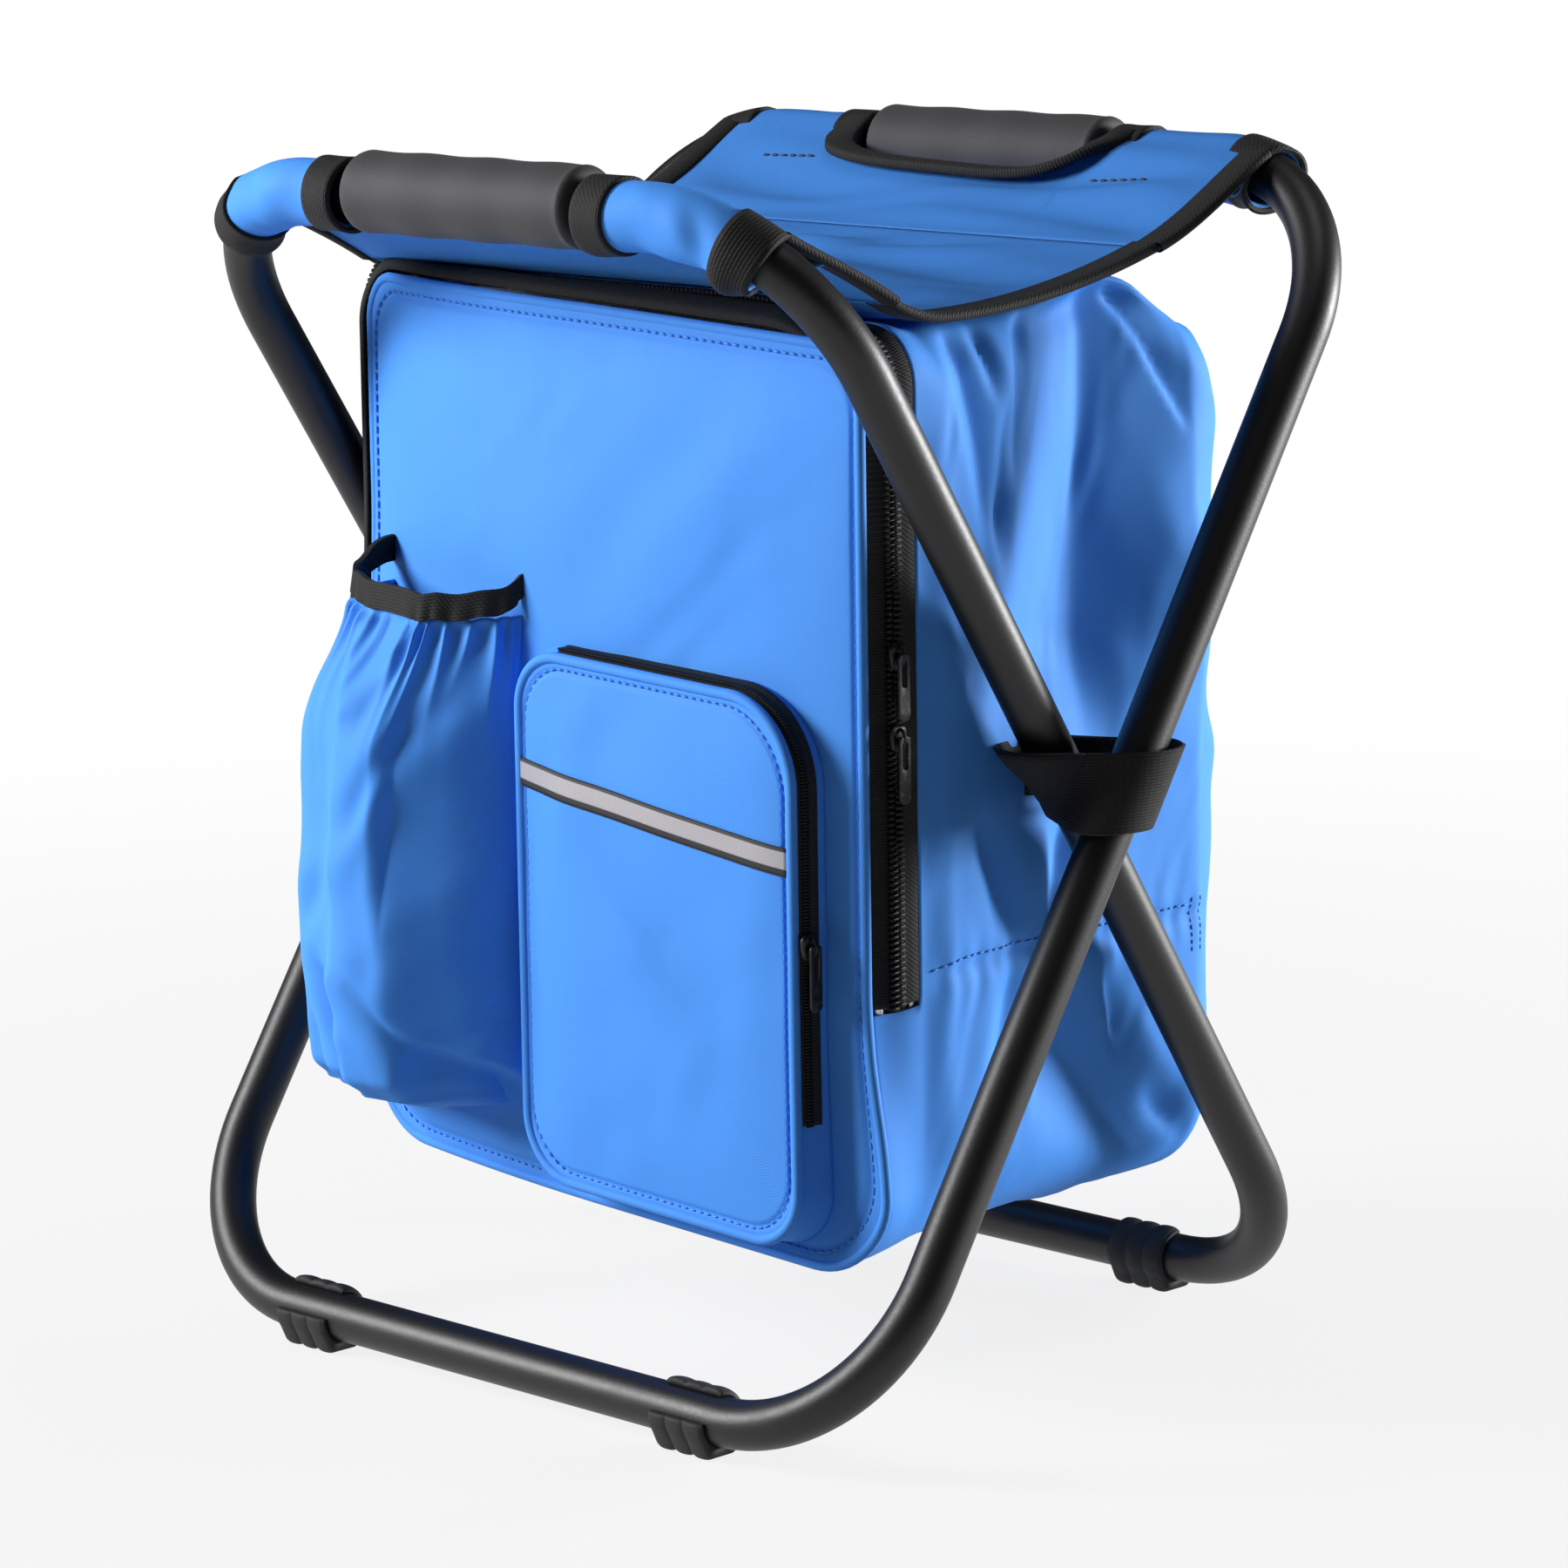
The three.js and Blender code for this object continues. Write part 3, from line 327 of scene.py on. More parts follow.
rubber = grained("foot_rubber", (300.0, 5.0), (0.006, 0.006, 0.0065), (0.02, 0.02, 0.021),
                 0.6, 0.3, 0.0002)
bar_z = PIVOT_Z - COS * LOW_REACH
sole = [(-SOLE_HALF, -bar_z + SOLE_RISE), (-SOLE_HALF + SOLE_EDGE, -bar_z),
        (SOLE_HALF - SOLE_EDGE, -bar_z), (SOLE_HALF, -bar_z + SOLE_RISE)]
arcs = []
for first, last, lip in ((LIP_HIGH, 180 + SOLE_TURN, 0), (-SOLE_TURN, LIP_LOW, -1)):
    angle = np.radians(np.linspace(first, last, 24))
    arcs.append(np.stack([np.cos(angle), np.sin(angle)], 1) * FOOT_R)
    arcs[-1][lip] *= LIP_THIN
outline = resample(np.concatenate([arcs[0], sole, arcs[1]]), FOOT_POINTS)
angle = np.radians(np.linspace(LIP_HIGH, LIP_LOW + 360, FOOT_POINTS))
bore = np.stack([np.cos(angle), np.sin(angle)], 1) * (TUBE_R + FOOT_PLAY)
for row, half_width, side in (("rear", INNER_HALF, 1), ("front", OUTER_HALF, -1)):
    for hand, way in HANDS:
        middle = way * (half_width - BEND_R - FOOT_LONG / 2)
        run = np.linspace(-0.5, 0.5, 57)
        swell = np.abs(np.cos(RIBS * math.pi * (run + 0.5) + math.pi / 2)) ** RIB_FLAT
        scale = (FOOT_R - RIB_DEEP * (1 - swell)) / FOOT_R
        places = np.concatenate([[-0.5, -BRIM_AT], run * RIB_SPAN, [BRIM_AT, 0.5]])
        scales = np.concatenate([[0.0, BRIM_SCALE], scale, [BRIM_SCALE, 0.0]])[:, None, None]
        outer = np.where(scales > 0, outline * scales, bore)
        section = np.concatenate([outer, np.broadcast_to(bore[::-1], outer.shape)], 1)
        skin = np.zeros((*section.shape[:2], 3))
        skin[..., 0] = middle + places[:, None] * FOOT_LONG
        skin[..., 1] = side * (SIN * LOW_REACH + section[..., 0])
        skin[..., 2] = np.maximum(bar_z + section[..., 1], 0.0)
        foot = build(f"{row}_rubber_{hand}", rubber, grid(skin, False, True), merge=1e-6)
        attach(foot, "inner_frame" if row == "rear" else "outer_frame")
        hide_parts(f"{row}_foot_{hand}")


# Foam grips: thick grey foam tubes on the straight middle of each top bar.
# Their ends are softly rounded, and the foam is a little uneven along its length.
GRIP_R = 0.0133
GRIP_HALF = 0.052
GRIP_ROUND = 0.0030
GRIP_UNEVEN, GRIP_WAVES, GRIP_SHY = 0.00022, 210, 0.0001

foam = Look("grip_foam", Sheen_Weight=0.05, Sheen_Roughness=0.6)
cells = foam.noise(2600.0, 3.0)
blotch = foam.noise(40.0, 4.0)
foam.feed(Base_Color=foam.mix(blotch, (0.021, 0.0205, 0.024), (0.030, 0.0295, 0.034)))
foam.feed(Roughness=0.62 + 0.2 * cells)
foam.relief(cells, 0.0002, 0.45)
turn = np.radians(np.linspace(0, 90, 9))
edge_x = GRIP_HALF - GRIP_ROUND + GRIP_ROUND * np.cos(turn)
edge_r = GRIP_R - GRIP_ROUND + GRIP_ROUND * np.sin(turn)
along = np.linspace(-0.9, 0.9, 41)
grip_x = np.concatenate([[-GRIP_HALF], -edge_x, along * GRIP_HALF, edge_x[::-1], [GRIP_HALF]])
grip_r = np.concatenate([[TUBE_R], edge_r, np.full(len(along), GRIP_R), edge_r[::-1], [TUBE_R]])
grip_r += np.where(grip_r > GRIP_R - 1e-6, GRIP_UNEVEN * np.sin(grip_x * GRIP_WAVES) - GRIP_SHY, 0)
angle = np.arange(56) * TURN / 56
for name, side in (("inner", -1), ("outer", 1)):
    skin = np.zeros((len(grip_x), len(angle), 3))
    skin[..., 0] = grip_x[:, None]
    skin[..., 1] = side * SIN * TOP_REACH + grip_r[:, None] * np.cos(angle)
    skin[..., 2] = PIVOT_Z + COS * TOP_REACH + grip_r[:, None] * np.sin(angle)
    grip = build(f"{name}_foam", foam, grid(skin, False, True))
    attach(grip, f"{name}_frame")
    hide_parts(f"{name}_grip")


# Sling seat: one length of blue oxford cloth that lies on the bag and climbs to both bars.
# Each end is a loose sleeve sewn round its bar, cut away in a U round the grip.
SPLIT_Y = 0.060
SEAT_LOW = 0.353
SEAT_DIP_Y = -0.035
SEAT_FRONT_RISE, SEAT_BACK_RISE = 0.0072, 0.0144
SEAT_HALF = 0.118
SEAT_REACH = SEAT_HALF + 0.006
NOTCH_HALF = 0.0575
NOTCH_BOW = 0.66
NOTCH_LOW, NOTCH_HIGH = 0.63, 0.94
SLEEVE_TIGHT = 0.0093
SLEEVE_SLACK = 0.0034
ARRIVE = math.radians(27)
WRAP_END = math.radians(232)
HEM_SHARE = 0.62
HEM_UNDER, HEM_SAG = 0.0016, 0.0025
SEAM_LIFT = 0.0003
NARROW_TAPE, WIDE_TAPE = 0.0045, 0.009
CUFF_LONG, CUFF_PAST = 0.0125, 0.0012
CUFF_OUTSIDE, CUFF_INSIDE = 0.0013, -0.0006
CLOTH_THICK = 0.0012


def crumple(u, v, size, height, seed, count=14):
    """Soft uneven dents: sine waves of about one size, in seeded directions, bent by each other."""
    draw = np.random.default_rng(seed)
    angle, phase = draw.uniform(0, TURN, count), draw.uniform(0, TURN, count)
    pace = draw.uniform(0.6, 1.5, count) / size
    bend = 0.35 * size * np.sin(TURN * (0.43 * u - 0.37 * v) / size + seed)
    total = 0
    for a, p, f in zip(angle, phase, pace):
        total = total + np.sin(TURN * f * ((u + bend) * math.cos(a) + (v - bend) * math.sin(a)) + p)
    return height * total / math.sqrt(count / 2)


def oxford(name, colour, shade, pitch=0.0008, gloss=0.55, depth=0.00012):
    """A plain weave: crossing sine threads in relief, with slow changes of tone and of gloss."""
    look = Look(name, Specular_IOR_Level=0.14)
    u, v = look.across()
    threads = (u * (TURN / pitch)).sine() * (v * (TURN / pitch)).sine()
    slub = look.noise(260.0, 4.0, (1.0, 1.0, 0.12))
    tone = look.noise(9.0, 5.0)
    dust = look.noise(55.0, 6.0).ramp(0.5, 0.85)
    base = look.mix(tone, colour, shade)
    worn = tuple(0.86 * c + 0.02 for c in colour)
    base = look.mix(dust * 0.22, base, worn)
    dark = tuple(0.72 * c for c in colour)
    look.feed(Base_Color=look.mix(0.16 * threads.ramp(-0.2, 0.9), base, dark))
    look.feed(Roughness=gloss + 0.18 * slub + 0.08 * tone - 0.05)
    look.relief(threads * 0.5 + slub * 0.8, depth, 0.5)
    return look


def tape(name, colour, pitch=0.0011, gloss=0.7, depth=0.0002):
    """Ribbed narrow fabric: ribs across the tape, a twill crossing them and worn high spots."""
    look = Look(name, Sheen_Weight=0.02, Sheen_Roughness=0.5, Specular_IOR_Level=0.3)
    u, v = look.across()
    ribs = (v * (TURN / pitch)).sine()
    twill = ((u + v) * (TURN / (pitch * 1.7))).sine()
    lint = look.noise(420.0, 5.0)
    pale = tuple(c * 1.8 + 0.002 for c in colour)
    look.feed(Base_Color=look.mix(lint.ramp(0.4, 0.8) * 0.6, colour, pale))
    look.feed(Roughness=gloss + 0.2 * lint - 0.05)
    look.relief(ribs * 0.6 + twill * 0.4, depth, 0.55)
    return look


def sewing_thread(name, dark, pale, gloss):
    """Thread: its fine twist shows as a change of tone."""
    look = Look(name, Roughness=gloss)
    look.feed(Base_Color=look.mix(look.noise(2200.0, 2.0), dark, pale))
    return look


blue = oxford("blue_cloth", (0.082, 0.324, 0.92), (0.068, 0.288, 0.85))
# The seat's cloth is a darker copy of the bag's blue oxford: painted shade for the lesser light that falls on
# the seat.
seat_blue_painted_shade = oxford("seat_cloth_painted_shade", (0.056, 0.225, 0.64), (0.046, 0.190, 0.56))
binding = tape("black_binding", (0.0060, 0.0058, 0.0064))
thread = sewing_thread("thread", (0.008, 0.008, 0.01), (0.03, 0.03, 0.035), 0.6)


def bar(half_width, side, x):
    """Centre of a top bar at a distance along it, and its outward direction in the loop's plane."""
    straight = half_width - BEND_R
    past = np.maximum(np.abs(x) - straight, 0)
    angle = np.minimum(past / BEND_R, 1.35)
    place = np.where(past > 0, np.sign(x) * (straight + BEND_R * np.sin(angle)), x)
    reach = TOP_REACH - BEND_R + BEND_R * np.cos(angle)
    centre = np.stack([place, side * SIN * reach, PIVOT_Z + COS * reach], -1)
    lift = np.cos(angle)
    out = np.stack([np.sign(x) * np.sin(angle), side * SIN * lift, COS * lift], -1)
    return centre, out


def sleeve(half_width, side, x, theta, more=0.0):
    """A loose sleeve round a bar: a circle that widens away from where the sling leaves it."""
    centre, out = bar(half_width, side, x)
    down = np.array([0.0, side * COS, -SIN])
    slack = 0.5 - 0.5 * np.cos(theta + ARRIVE + LEAN)
    soft = crumple(x, theta * 0.01, 0.03, 0.0007, 5 + side) * slack
    radius = (SLEEVE_TIGHT + SLEEVE_SLACK * slack + soft + more)[..., None]
    return centre + radius * (out * np.cos(theta)[..., None] + down * np.sin(theta)[..., None])


def dip(y):
    """Height of the sling over its lowest line, which lies in front of the middle, and its slope."""
    past = y - SEAT_DIP_Y
    behind, before = SPLIT_Y - SEAT_DIP_Y, SPLIT_Y + SEAT_DIP_Y
    curl = np.where(past > 0, SEAT_BACK_RISE / behind**2, SEAT_FRONT_RISE / before**2)
    return SEAT_LOW + curl * past**2, 2 * curl * past


def sling(half_width, side, x, share, more=0.0):
    """From the sling's flat middle at share 0 to its sleeve at share 1, as one smooth curve."""
    leave = np.full(np.shape(x), -(ARRIVE + LEAN))
    end = sleeve(half_width, side, x, leave)
    height, slope = dip(side * SPLIT_Y)
    start = np.stack(np.broadcast_arrays(end[..., 0], side * SPLIT_Y, height), -1)
    first = np.array([0, side, side * slope])
    last = np.array([0, side * math.cos(ARRIVE), math.sin(ARRIVE)])
    size = np.linalg.norm(end - start, axis=-1, keepdims=True)
    t = share[..., None]
    curve = (2 * t**3 - 3 * t**2 + 1) * start + (t**3 - 2 * t**2 + t) * size * first
    curve = curve + (3 * t**2 - 2 * t**3) * end + (t**3 - t**2) * size * last
    fold = crumple(x * 0.2, curve[..., 1], 0.030, 0.0010, 11 + side) * ease(0, 0.25, share)
    curve[..., 2] += fold * ease(1.0, 0.7, share) * ease(1.04, 0.8, np.abs(x) / SEAT_HALF) + more
    return curve


def stitches(name, look, line, up, pitch=0.0042, long=0.0028, thick=0.0005):
    """Stitches along a line: each a short square thread, thinner at its ends, laid on the cloth."""
    run = travel(line)
    count = max(int(run[-1] / pitch), 2)
    at = (np.arange(count) + 0.5) * run[-1] / count
    spots = [np.clip(at + part * long, 0, run[-1]) for part in (-0.5, -0.3, 0.3, 0.5)]
    rings = [np.stack([np.interp(spot, run, line[:, k]) for k in range(3)], 1) for spot in spots]
    rise = np.broadcast_to(unit(np.array(up, float)), (count, 3))
    side = unit(np.cross(rings[3] - rings[0], rise))
    corner = circle(thick, 4)
    points = [
        ring[:, None] + size * (side[:, None] * corner[:, :1] + rise[:, None] * corner[:, 1:])
        for ring, size in zip(rings, (0.4, 1.0, 1.0, 0.4))
    ]
    c = np.arange(16).reshape(4, 4)
    quads = [(c[a, b], c[a, b - 3], c[a + 1, b - 3], c[a + 1, b]) for a in range(3) for b in range(4)]
    faces = np.array([*quads, c[0][::-1], c[3]])
    every = np.concatenate([faces + 16 * k for k in range(count)])
    return build(name, look, (np.stack(points, 1).reshape(-1, 3), every, np.zeros((every.size, 2))))


def edge_tape(line, up, inwards, wide=WIDE_TAPE, thick=0.0017):
    """Binding folded over an edge: a flat loop of tape that covers both faces and rounds the edge."""
    ahead = heading(line, False)
    side = np.cross(ahead, np.broadcast_to(up, line.shape))
    sign = np.sign((side * inwards).sum(-1).mean())
    lip = np.radians(np.linspace(90, 270, 7))
    nose = np.stack([thick * np.cos(lip) - 0.0004, thick * np.sin(lip)], 1)
    rims = [(wide, 0.0007), (wide * 0.96, thick)], [(wide * 0.96, -thick), (wide, -0.0007)]
    section = np.concatenate([rims[0], nose, rims[1]])
    section[:, 0] *= sign
    return grid(sweep(line, section, up), False, True)


def cuff(half_width, side, first, last):
    """Tape round a sleeve's end: a wall between two sleeves, one wider and one tighter than the cloth."""
    theta, x = np.meshgrid(np.arange(44) * TURN / 44, np.linspace(first, last, 9))
    outside = sleeve(half_width, side, x, theta, np.full(x.shape, CUFF_OUTSIDE))
    inside = sleeve(half_width, side, x[::-1], theta, np.full(x.shape, CUFF_INSIDE))
    return grid(np.concatenate([outside, inside]), True, True)


def seat_half(name, half_width, side):
    """Half of the sling with its two sleeves, and the tape that binds its edges."""
    rows = np.linspace(0, 1, 25)
    turn_in = np.radians(np.concatenate([np.linspace(0, 6, 8)[:-1], np.linspace(6, 90, 30)]))
    cols = NOTCH_HALF * np.sin(turn_in) ** NOTCH_BOW
    ends = NOTCH_HIGH - (NOTCH_HIGH - NOTCH_LOW) * np.abs(np.cos(turn_in)) ** NOTCH_BOW
    cols = np.concatenate([-cols[:0:-1], cols])
    ends = np.concatenate([ends[:0:-1], ends])
    x = np.repeat(cols[None], len(rows), 0)
    grids = [grid(sling(half_width, side, x, rows[:, None] * ends[None]))]
    tapes, seams, tops = [], [], []
    for way in (-1, 1):
        spread = way * np.linspace(NOTCH_HALF, SEAT_REACH, 34)
        levels = np.concatenate([rows * NOTCH_HIGH, np.linspace(NOTCH_HIGH, 1, 9)[1:]])
        sheet = sling(half_width, side, *np.meshgrid(spread, levels))
        theta = np.linspace(-(ARRIVE + LEAN), WRAP_END, 40)[1:]
        wrap = sleeve(half_width, side, *np.meshgrid(spread, theta))
        hem = np.full(len(spread), HEM_SHARE)
        seam = sling(half_width, side, spread, hem, -HEM_UNDER)
        back = np.linspace(0, 1, 8)[1:, None, None]
        tail = wrap[-1] * (1 - back) + seam * back
        tail[..., 2] -= HEM_SAG * np.sin(math.pi * back)[..., 0]
        grids.append(grid(np.concatenate([sheet, wrap, tail])))
        side_edge = sling(half_width, side, np.full(30, way * SEAT_REACH), np.linspace(0, 1, 30))
        tape_wide = NARROW_TAPE if side < 0 else WIDE_TAPE
        tapes.append(edge_tape(side_edge, (0, 0, 1), np.array([-way, 0, 0]), tape_wide))
        tops.append(sling(half_width, side, np.full(9, way * NOTCH_HALF), np.linspace(NOTCH_HIGH, 1, 9)))
        seams.append(sling(half_width, side, spread[3:17], hem[3:17], SEAM_LIFT))
        for rim, outwards in ((SEAT_REACH, 1), (NOTCH_HALF, -1)):
            first, last = rim - outwards * CUFF_LONG, rim + outwards * CUFF_PAST
            tapes.append(cuff(half_width, side, way * first, way * last))
    around = np.concatenate([tops[0][:0:-1], sling(half_width, side, cols, ends), tops[1][1:]])
    tapes.append(edge_tape(around, (0, 0, 1), np.array([0, -side, 0])))
    # The back half wears the darker copy of the cloth, which is painted shade; the front half wears the bag's
    # cloth.
    cloth = build(f"seat_{name}", blue if side < 0 else seat_blue_painted_shade, *grids, merge=1e-5, thickness=CLOTH_THICK)
    bound = build(f"seat_{name}_binding", binding, *tapes)
    sewn = [stitches(f"seat_{name}_stitch_{k}", thread, line, (0, 0, 1)) for k, line in enumerate(seams)]
    for part in (cloth, bound, *sewn):
        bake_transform(part)
    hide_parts(f"seat_{name}_half")
    length = travel(np.concatenate([sheet, wrap, tail])[:, 10])[-1]
    bare = length - ends * travel(sheet[:, 10])[-1]
    cut = (np.diff(cols) * (bare[1:] + bare[:-1]) / 2).sum()
    2 * SEAT_REACH * length - cut


seat_half("front", INNER_HALF, -1)
seat_half("back", OUTER_HALF, 1)
front_x = bar(INNER_HALF, -1, np.array([SEAT_REACH]))[0][0, 0]
back_x = bar(OUTER_HALF, 1, np.array([SEAT_REACH]))[0][0, 0]
depth = np.sort(np.append(np.linspace(-SPLIT_Y, SPLIT_Y, 60), SEAT_DIP_Y))
half = np.interp(depth, (-SPLIT_Y, SPLIT_Y), (front_x, back_x))
breadth, depth = np.meshgrid(np.linspace(-1, 1, 81), depth)
across = half[:, None] * breadth
folds = crumple(across * 0.25, depth, 0.034, 0.0013, 3) * ease(SPLIT_Y, 0.035, np.abs(depth))
middle = np.stack([across, depth, dip(depth)[0] + folds * ease(1.0, 0.7, np.abs(breadth))], -1)
# The middle wears the darker copy of the cloth, which is painted shade.
seat = build("seat_middle", seat_blue_painted_shade, grid(middle), thickness=CLOTH_THICK)
edges = [edge_tape(middle[:, k], (0, 0, 1), np.array([w, 0, 0])) for k, w in ((0, 1), (-1, -1))]
bound = build("seat_middle_binding", binding, *edges)
for part in (seat, bound):
    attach(part, "bag")
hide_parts("seat_centre")


# Bag body: the blue cloth sides, top, bottom and back of the cooler, lofted as one soft shell.
# It hangs from the sling, gathered at the top, with a seam across each side and slack folds.
BAG_HALF = 0.1245
BAG_LOW = 0.057
BAG_TOP = 0.3500
SHELL_FRONT = -0.0535
GUSSET_FRONT = -0.0725
ZIP_LOW = 0.143
SHELL_BACK = 0.089
BACK_START = 0.077
BACK_ROUND = 0.011
BACK_CROWN = 0.003
LOW_R, HIGH_R = 0.026, 0.018
SIDE_SEAM_Z = 0.147
FRONT_TILT = 0.042
FRONT_DROOP, DROOP_LEFT = 0.0040, 0.40
HANG_START, HANG_FULL = -0.030, -0.066
BRINK_FULL = -0.0735
DRAWN_LEFT, DRAWN_RIGHT, SPREAD_RIGHT = 0.0050, 0.0048, 0.0035
LEFT_BACK = 0.010
ROOF_SLOPE, ROOF_GAP = 0.40, 0.0034
ZIP_RISE = 0.0050
BACK_SAG, SAG_MIDDLE = 0.024, 0.35
FOLD_SEEDS = {1: 1, -1: 4}
SIDE_FADE = 0.014
SIDE_FULL = 0.0030
PINCH, PINCH_WIDE = 0.0014, 0.0028
PUCKER, PUCKER_WIDE, PUCKER_PITCH = 0.00025, 0.008, 0.0085
LOOP_PRESS, PRESS_WIDE = 0.0030, 0.030
TACKS_Y = (0.0740, 0.0785)
TACK_LOW, TACK_HIGH = SIDE_SEAM_Z - 0.013, SIDE_SEAM_Z + 0.006
SHELL_POINTS, SHELL_ROWS = 360, 96


def settle(points):
    """How the bag's front hangs: lower on the right, drooping at its top and drawn in at its side edges.

    Each change grows by a smooth step towards the front, and the top stays under the sling.
    """
    x, y, z = points[..., 0], points[..., 1], points[..., 2]
    front, brink = ease(HANG_START, HANG_FULL, y), ease(SHELL_FRONT, BRINK_FULL, y)
    left, right = np.clip(-x / BAG_HALF, 0, 1), np.clip(x / BAG_HALF, 0, 1)
    droop = FRONT_DROOP * (1 + DROOP_LEFT * left) * brink * ease(0.27, BAG_TOP, z)
    drawn = left**3 * DRAWN_LEFT * ease(0.18, 0.28, z)
    drawn = drawn - right**16 * (DRAWN_RIGHT * ease(0.09, 0.15, z) - SPREAD_RIGHT * ease(0.13, 0.07, z))
    roof = dip(np.clip(y, -SPLIT_Y, SPLIT_Y))[0] + ROOF_SLOPE * np.maximum(-SPLIT_Y - y, 0) - ROOF_GAP
    tilted = z - FRONT_TILT * x * front - droop
    high = np.where(y < SEAT_DIP_Y, np.minimum(tilted, roof), tilted)
    return np.stack([x + brink * drawn, y + LEFT_BACK * left**2 * front, high], -1)


def hung(points):
    """The top follows the sling and rounds off towards the zip and towards the corners of the back."""
    x, y, z = points[..., 0], points[..., 1], points[..., 2]
    under_sling = dip(np.minimum(y, SPLIT_Y))[0] - SEAT_LOW
    rise = np.where(y > SEAT_DIP_Y, under_sling, ZIP_RISE * ease(-0.040, SHELL_FRONT, y))
    corner = SAG_MIDDLE + (1 - SAG_MIDDLE) * ease(0.03, 0.118, np.abs(x))
    sag = BACK_SAG * ease(0.040, 0.092, y) * corner
    return np.stack([x, y, z + ease(0.24, BAG_TOP, z) * (rise - sag)], -1)


def crease(y, z, start, end, height, before, after, fade, power=1.0):
    """A fold along a line, with its own width before and after it, fading out past its ends.

    At power 1 it has two flat slopes that level off at its width; at power 2 it is a bell.
    """
    start, end = np.array(start), np.array(end)
    size = np.linalg.norm(end - start)
    along = (end - start) / size
    run = (y - start[0]) * along[0] + (z - start[1]) * along[1]
    off = (y - start[0]) * -along[1] + (z - start[1]) * along[0]
    width = np.where(off > 0, after, before)
    ends = ease(-fade, fade, run) * ease(size + fade, size - fade, run)
    soft = np.sqrt((off / width) ** 2 + 0.002) - 0.0447
    if power == 1.0:
        return height * np.logaddexp(0, 7 * (1 - soft)) / 7 * ends
    return height * np.exp(-(soft**power)) * ends


# The folds of a side, each by its two ends in y and z, then its height, widths and fade.
# They are the valley beside the crossing, the gathers under the sling, a swell behind, and the slack below.
SIDE_FOLDS = (
    ((0.0450, 0.3750), (0.0270, 0.2260), -0.0180, 0.052, 0.038, 0.022),
    ((0.0390, 0.3620), (0.0745, 0.3130), -0.0024, 0.0018, 0.014, 0.005),
    ((-0.0330, 0.3600), (-0.0165, 0.2820), -0.0060, 0.008, 0.013, 0.014),
    ((-0.0085, 0.3180), (-0.0120, 0.2740), -0.0034, 0.005, 0.007, 0.010),
    ((0.0010, 0.3400), (-0.0030, 0.3000), -0.0032, 0.005, 0.007, 0.010),
    ((-0.0215, 0.3560), (-0.0130, 0.3280), -0.0040, 0.004, 0.006, 0.008),
    ((0.0100, 0.3600), (0.0030, 0.3380), -0.0034, 0.005, 0.005, 0.008),
    ((0.0840, 0.2700), (0.0360, 0.2240), 0.0066, 0.026, 0.028, 0.016, 2.0),
    ((-0.0095, 0.1500), (-0.0250, 0.1900), -0.0048, 0.010, 0.008, 0.012),
    ((0.0060, 0.1490), (0.0150, 0.1880), -0.0044, 0.010, 0.008, 0.012),
    ((0.0000, 0.1240), (0.0610, 0.0650), -0.0085, 0.026, 0.022, 0.010),
    ((0.0325, 0.1330), (0.0405, 0.1080), -0.0034, 0.004, 0.012, 0.008),
    ((-0.0110, 0.1430), (-0.0200, 0.1050), -0.0040, 0.008, 0.012, 0.012),
    ((0.0560, 0.0900), (0.0760, 0.0700), -0.0034, 0.008, 0.008, 0.010),
)


def side_folds(y, z, seed):
    """How far a side stands out: the sum of its folds and of soft dents, with a pinched, puckered seam."""
    inside = ease(SHELL_FRONT, SHELL_FRONT + SIDE_FADE, y) * ease(SHELL_BACK, SHELL_BACK - SIDE_FADE, y)
    height = ease(BAG_LOW, BAG_LOW + 0.03, z)
    gather = ease(0.250, 0.335, z)
    y = y - 0.004 * (seed - 1)
    total = sum(crease(y, z, *fold) for fold in SIDE_FOLDS)
    total = total + crumple(y, z * 0.4, 0.060, 0.0004, 21 + seed) * (0.7 + 0.6 * gather)
    total = total + crumple(y, z * 0.5, 0.018, 0.00010, 31 + seed)
    pinch = np.exp(-(((z - SIDE_SEAM_Z) / PINCH_WIDE) ** 2))
    pucker = np.exp(-(((z - SIDE_SEAM_Z) / PUCKER_WIDE) ** 2)) * np.sin(TURN * y / PUCKER_PITCH + seed)
    loop = np.exp(-(((y + 0.002) / PRESS_WIDE) ** 2) - ((z - PIVOT_Z) / PRESS_WIDE) ** 2)
    full = SIDE_FULL * ease(0.060, 0.100, z) * ease(0.35, 0.30, z)
    return inside * height * (total + full - PINCH * pinch + PUCKER * pucker - LOOP_PRESS * loop)


def back_slack(x, z):
    """How far the back panel stands behind its edge: fuller above, with soft dents."""
    return crumple(x, z, 0.06, 0.0012, 8) + 0.006 * ease(0.06, 0.20, z)


def bag_ring(draw_in, y, radii, count, top=1.0):
    """The bag's rounded outline at a depth y, drawn in from its sides and bottom, and partly from its top."""
    wide, low, high = BAG_HALF - draw_in, BAG_LOW + draw_in, BAG_TOP - top * draw_in
    ring = rounded(-wide, wide, low, high, radii, count)
    return np.stack([ring[:, 0], np.full(count, y), ring[:, 1]], 1)


